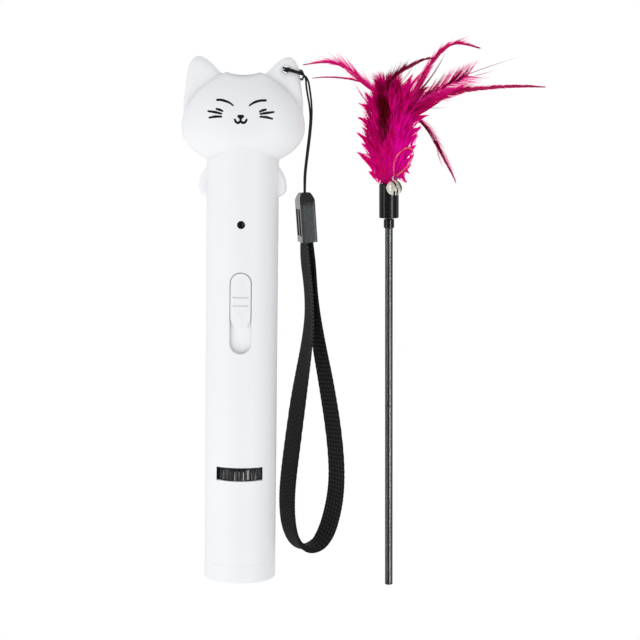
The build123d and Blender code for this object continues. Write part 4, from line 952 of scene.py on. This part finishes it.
# Each plume: its quill's points (x, y, z), the vane's half width along it on the left and on the right,
# the barbs' slant, spacing, width and tones, and the long loose barbs: root, tip, how many, width, tone, bow.
PLUMES = {
    "plume_long_right": dict(
        quill=[(58, 181, 10), (64.5, 186.6, 11), (70, 189.4, 10.4), (78, 191.9, 9.6), (86.6, 193.9, 9.2),
               (99.5, 195.3, 9), (109, 195.7, 9), (117.8, 195.5, 9)],
        left=[1, 2.2, 2.3, 2, 1.1, 0.75, 0.6, 0.2], right=[1.5, 2.4, 2.2, 1.5, 0.9, 0.7, 0.45, 0.15],
        slant=20, spacing=0.14, width=0.24, tone=(0.3, 0.62), ragged=0.25,
        loose=[((66, 187.6, 9.5), (80.6, 187.1, 9), 3, 0.16, 0.2, 0.03),
               ((70, 188.6, 9.5), (83, 190, 9), 5, 0.14, 0.7, -0.04)]),
    "plume_barred": dict(
        quill=[(59, 184, 11), (67, 189.2, 11.6), (74, 192.8, 11.2), (81, 196.6, 10.8),
               (87.4, 199.6, 10.6)],
        left=[0.6, 2.2, 4.4, 5.4, 3], right=[0.6, 1.8, 2.4, 4, 3.6],
        slant=34, spacing=0.15, width=0.13, tone=(0.62, 1), ragged=0.4,
        loose=[((69.5, 190.8, 11.6), (76, 199.6, 11.6), 5, 0.2, 0.3, 0.05),
               ((71.5, 191.8, 11.6), (79.2, 201.8, 11.6), 6, 0.2, 0.1, 0.06),
               ((74.5, 193.4, 11.5), (80.6, 201.2, 11.5), 5, 0.2, 0.45, 0.05),
               ((77, 194.6, 11.4), (84.4, 203, 11.4), 7, 0.2, 0.15, 0.06),
               ((80, 196.2, 11.3), (86.2, 203.6, 11.3), 8, 0.24, -0.05, 0.05),
               ((82.5, 197.4, 11.2), (88.6, 203.6, 11.2), 8, 0.24, -0.02, 0.05),
               ((66, 189, 11.8), (71.6, 196.6, 11.8), 6, 0.22, 0.1, 0.05),
               ((84, 198.4, 10.9), (107.4, 207.4, 10.4), 2, 0.15, 0.3, -0.01),
               ((86, 199, 10.8), (99, 202, 10.4), 2, 0.15, 0.35, 0.02)]),
    "plume_up_right": dict(
        quill=[(60, 181.5, 12), (64.6, 189, 12.6), (68.6, 196.6, 12.3), (73, 204.2, 12.2),
               (77.2, 209.2, 12.2), (81, 211.6, 12.2), (85.6, 211.8, 12.2), (91.2, 210.4, 12.2)],
        left=[1, 1.5, 1.4, 1, 0.8, 0.7, 0.5, 0.2], right=[1, 1.5, 1.4, 0.9, 0.7, 0.6, 0.5, 0.2],
        slant=15, spacing=0.17, width=0.2, tone=(0.42, 0.8), ragged=0.4,
        loose=[((66, 191, 12.2), (79, 208.8, 12.2), 6, 0.2, 0.02, 0.05),
               ((73, 204.6, 12.2), (77.4, 212, 12.2), 3, 0.14, 0.5, 0.03)]),
    "plume_thin_dark": dict(
        quill=[(55, 180, 13), (55.2, 189, 13.9), (56.4, 195, 13.8), (59.4, 199.4, 13.7),
               (63.8, 202.5, 13.6), (69, 205.2, 13.6), (72.8, 206.1, 13.6)],
        left=[1.2, 1.5, 1.2, 0.9, 0.7, 0.45, 0.15], right=[1.2, 1.6, 1.3, 0.9, 0.7, 0.4, 0.15],
        slant=11, spacing=0.15, width=0.2, tone=(-0.05, 0.22), ragged=0.3,
        loose=[((57, 193, 13.4), (67.6, 205.6, 13.4), 4, 0.16, 0.3, 0.05)]),
    "plume_upper_left": dict(
        quill=[(55, 186, 11.6), (50.4, 193.6, 11.6), (46.4, 197.2, 11.4), (42, 201, 11.3),
               (37.6, 203.3, 11.3), (32, 204.3, 11.3), (23, 203, 11.3)],
        left=[0.8, 1.2, 1.8, 2.3, 1.5, 0.6, 0.15], right=[0.8, 1.2, 1.6, 1.8, 1.1, 0.6, 0.15],
        slant=15, spacing=0.2, width=0.15, tone=(0.55, 0.98), ragged=0.4,
        loose=[((50, 194.2, 11.4), (40.5, 202.6, 11.4), 10, 0.2, 0.75, -0.05),
               ((49.5, 194, 11.4), (38.5, 202.4, 11.4), 10, 0.2, 0.6, -0.02)]),
    "plume_lower_left": dict(
        quill=[(54, 188, 8), (49.6, 194.8, 8.2), (44, 197.2, 8.1), (37, 198.2, 8), (31, 198.3, 8),
               (26.8, 197.9, 8)],
        left=[0.5, 0.6, 0.5, 0.32, 0.22, 0.1], right=[0.5, 0.6, 0.5, 0.32, 0.22, 0.1],
        slant=12, spacing=0.2, width=0.16, tone=(0.6, 0.98), ragged=0.3,
        loose=[((49.2, 188, 8.6), (42.4, 197, 8.6), 5, 0.17, 0.7, -0.03)]),
    "plume_drooping": dict(
        quill=[(62, 187, 7), (67.5, 183.4, 7), (71.6, 179.8, 6.8), (75.2, 174.6, 6.6), (78.6, 168.2, 6.6),
               (81.4, 162.8, 6.6), (83.6, 158, 6.6)],
        left=[0.6, 1, 1.2, 1.2, 1, 0.6, 0.15], right=[0.6, 1.2, 1.4, 1.2, 0.9, 0.5, 0.15],
        slant=13, spacing=0.34, width=0.11, tone=(0.4, 0.9), ragged=0.5,
        loose=[((67, 183.6, 7.2), (77.6, 169.6, 6.8), 12, 0.26, 0.1, -0.05),
               ((69, 181.4, 7.2), (80.8, 166.2, 6.8), 4, 0.16, 0.05, -0.06),
               ((75, 174, 6.9), (83.6, 158.2, 6.6), 14, 0.26, 0.08, 0),
               ((76, 171.6, 6.9), (79.4, 161.6, 6.6), 3, 0.16, 0.25, 0.03)]),
}


def sample_list(values, t):
    """The value at a share t of the way along a list."""
    k = min(int(t * (len(values) - 1)), len(values) - 2)
    u = t * (len(values) - 1) - k
    return values[k] + (values[k + 1] - values[k]) * u


QUILL_RADIUS, QUILL_STEPS = 0.00011, 90
LONGEST_BARB, LOWEST_BARB = 8.5, 0.2
CLUMP_CHANCE = 0.18  # that the barbs from here on lie together another way
LOOSE_SPREAD = 0.35


def plume(name, spec, vane, quill):
    rng = random.Random(name)
    line = spline_points(spec["quill"], QUILL_STEPS)
    strands = Strands()
    count = int(line_length(line) / spec["spacing"])
    low, high = spec["tone"]
    for side, widths in ((1, spec["left"]), (-1, spec["right"])):
        clump = 0.0
        for i in range(count):
            t = i / count
            k = min(int(t * (len(line) - 1)), len(line) - 2)
            root = sample_list(line, t)
            along = (line[k + 1] - line[k]).normalized()
            out = Vector((-along.y, along.x, 0)).normalized() * side
            half = sample_list(widths, t) * (1 + spec["ragged"] * rng.uniform(-0.9, 0.7))
            if rng.random() < CLUMP_CHANCE:
                clump = rng.uniform(-0.3, 0.3)
            slant = math.radians(spec["slant"] + clump * 16 + rng.uniform(-4, 4))
            reach = min(max(half, 0.1) / math.sin(max(slant, 0.12)), LONGEST_BARB)
            direction = along * math.cos(slant) + out * math.sin(slant)
            direction.z += rng.uniform(-0.05, 0.05)
            sweep = along * 0.10 * reach
            points = [root + direction * reach * s + sweep * s * s for s in (0, 0.35, 0.7, 1.0)]
            for p in points:
                p.z = max(p.z, LOWEST_BARB)
            tone = low + (high - low) * (0.5 + clump) + rng.uniform(-0.12, 0.12)
            strands.add(points, spec["width"] * rng.uniform(0.75, 1.25), tone, tone + 0.1, UP)
    for root, tip, number, width, tone, bow in spec["loose"]:
        strands.wisp(rng, root, tip, number, LOOSE_SPREAD, width, tone, bow)
    strands.finish(name + "_vane", vane, name)
    shaft = nurbs(name + "_quill", [P(*p) for p in spec["quill"]], QUILL_RADIUS, quill)
    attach(shaft, "wand_tip")


THREAD_RADIUS = 0.0002
LOOP_POINTS = [
    (59.3, 160.2, 11.1), (58.8, 162.2, 11.9), (59, 165.6, 13.4), (60.4, 168.9, 14.8), (63.4, 171.6, 15.2),
    (66.2, 171, 14.2), (66.7, 168.2, 13), (65, 164.6, 12.2), (62.3, 162, 11.6), (60.3, 160.4, 11.3),
]


def tie_loop(material):
    obj = nurbs("tie_loop", [P(*p) for p in LOOP_POINTS], THREAD_RADIUS, material)
    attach(obj, "wand_tip")
    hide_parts("bell_tie_loop")


# ---- build
bpy.context.scene.view_settings.view_transform = "Standard"
make_camera()
make_light()
mats = make_materials()
dress_nodes(mats)
lanyard(mats["cord"])
wrist_strap(mats["webbing"])
printed_face(mats["ink"])
marabou(mats["down"])
for plume_name, plume_spec in PLUMES.items():
    plume(plume_name, plume_spec, mats["plume"], mats["quill"])
tie_loop(mats["thread"])
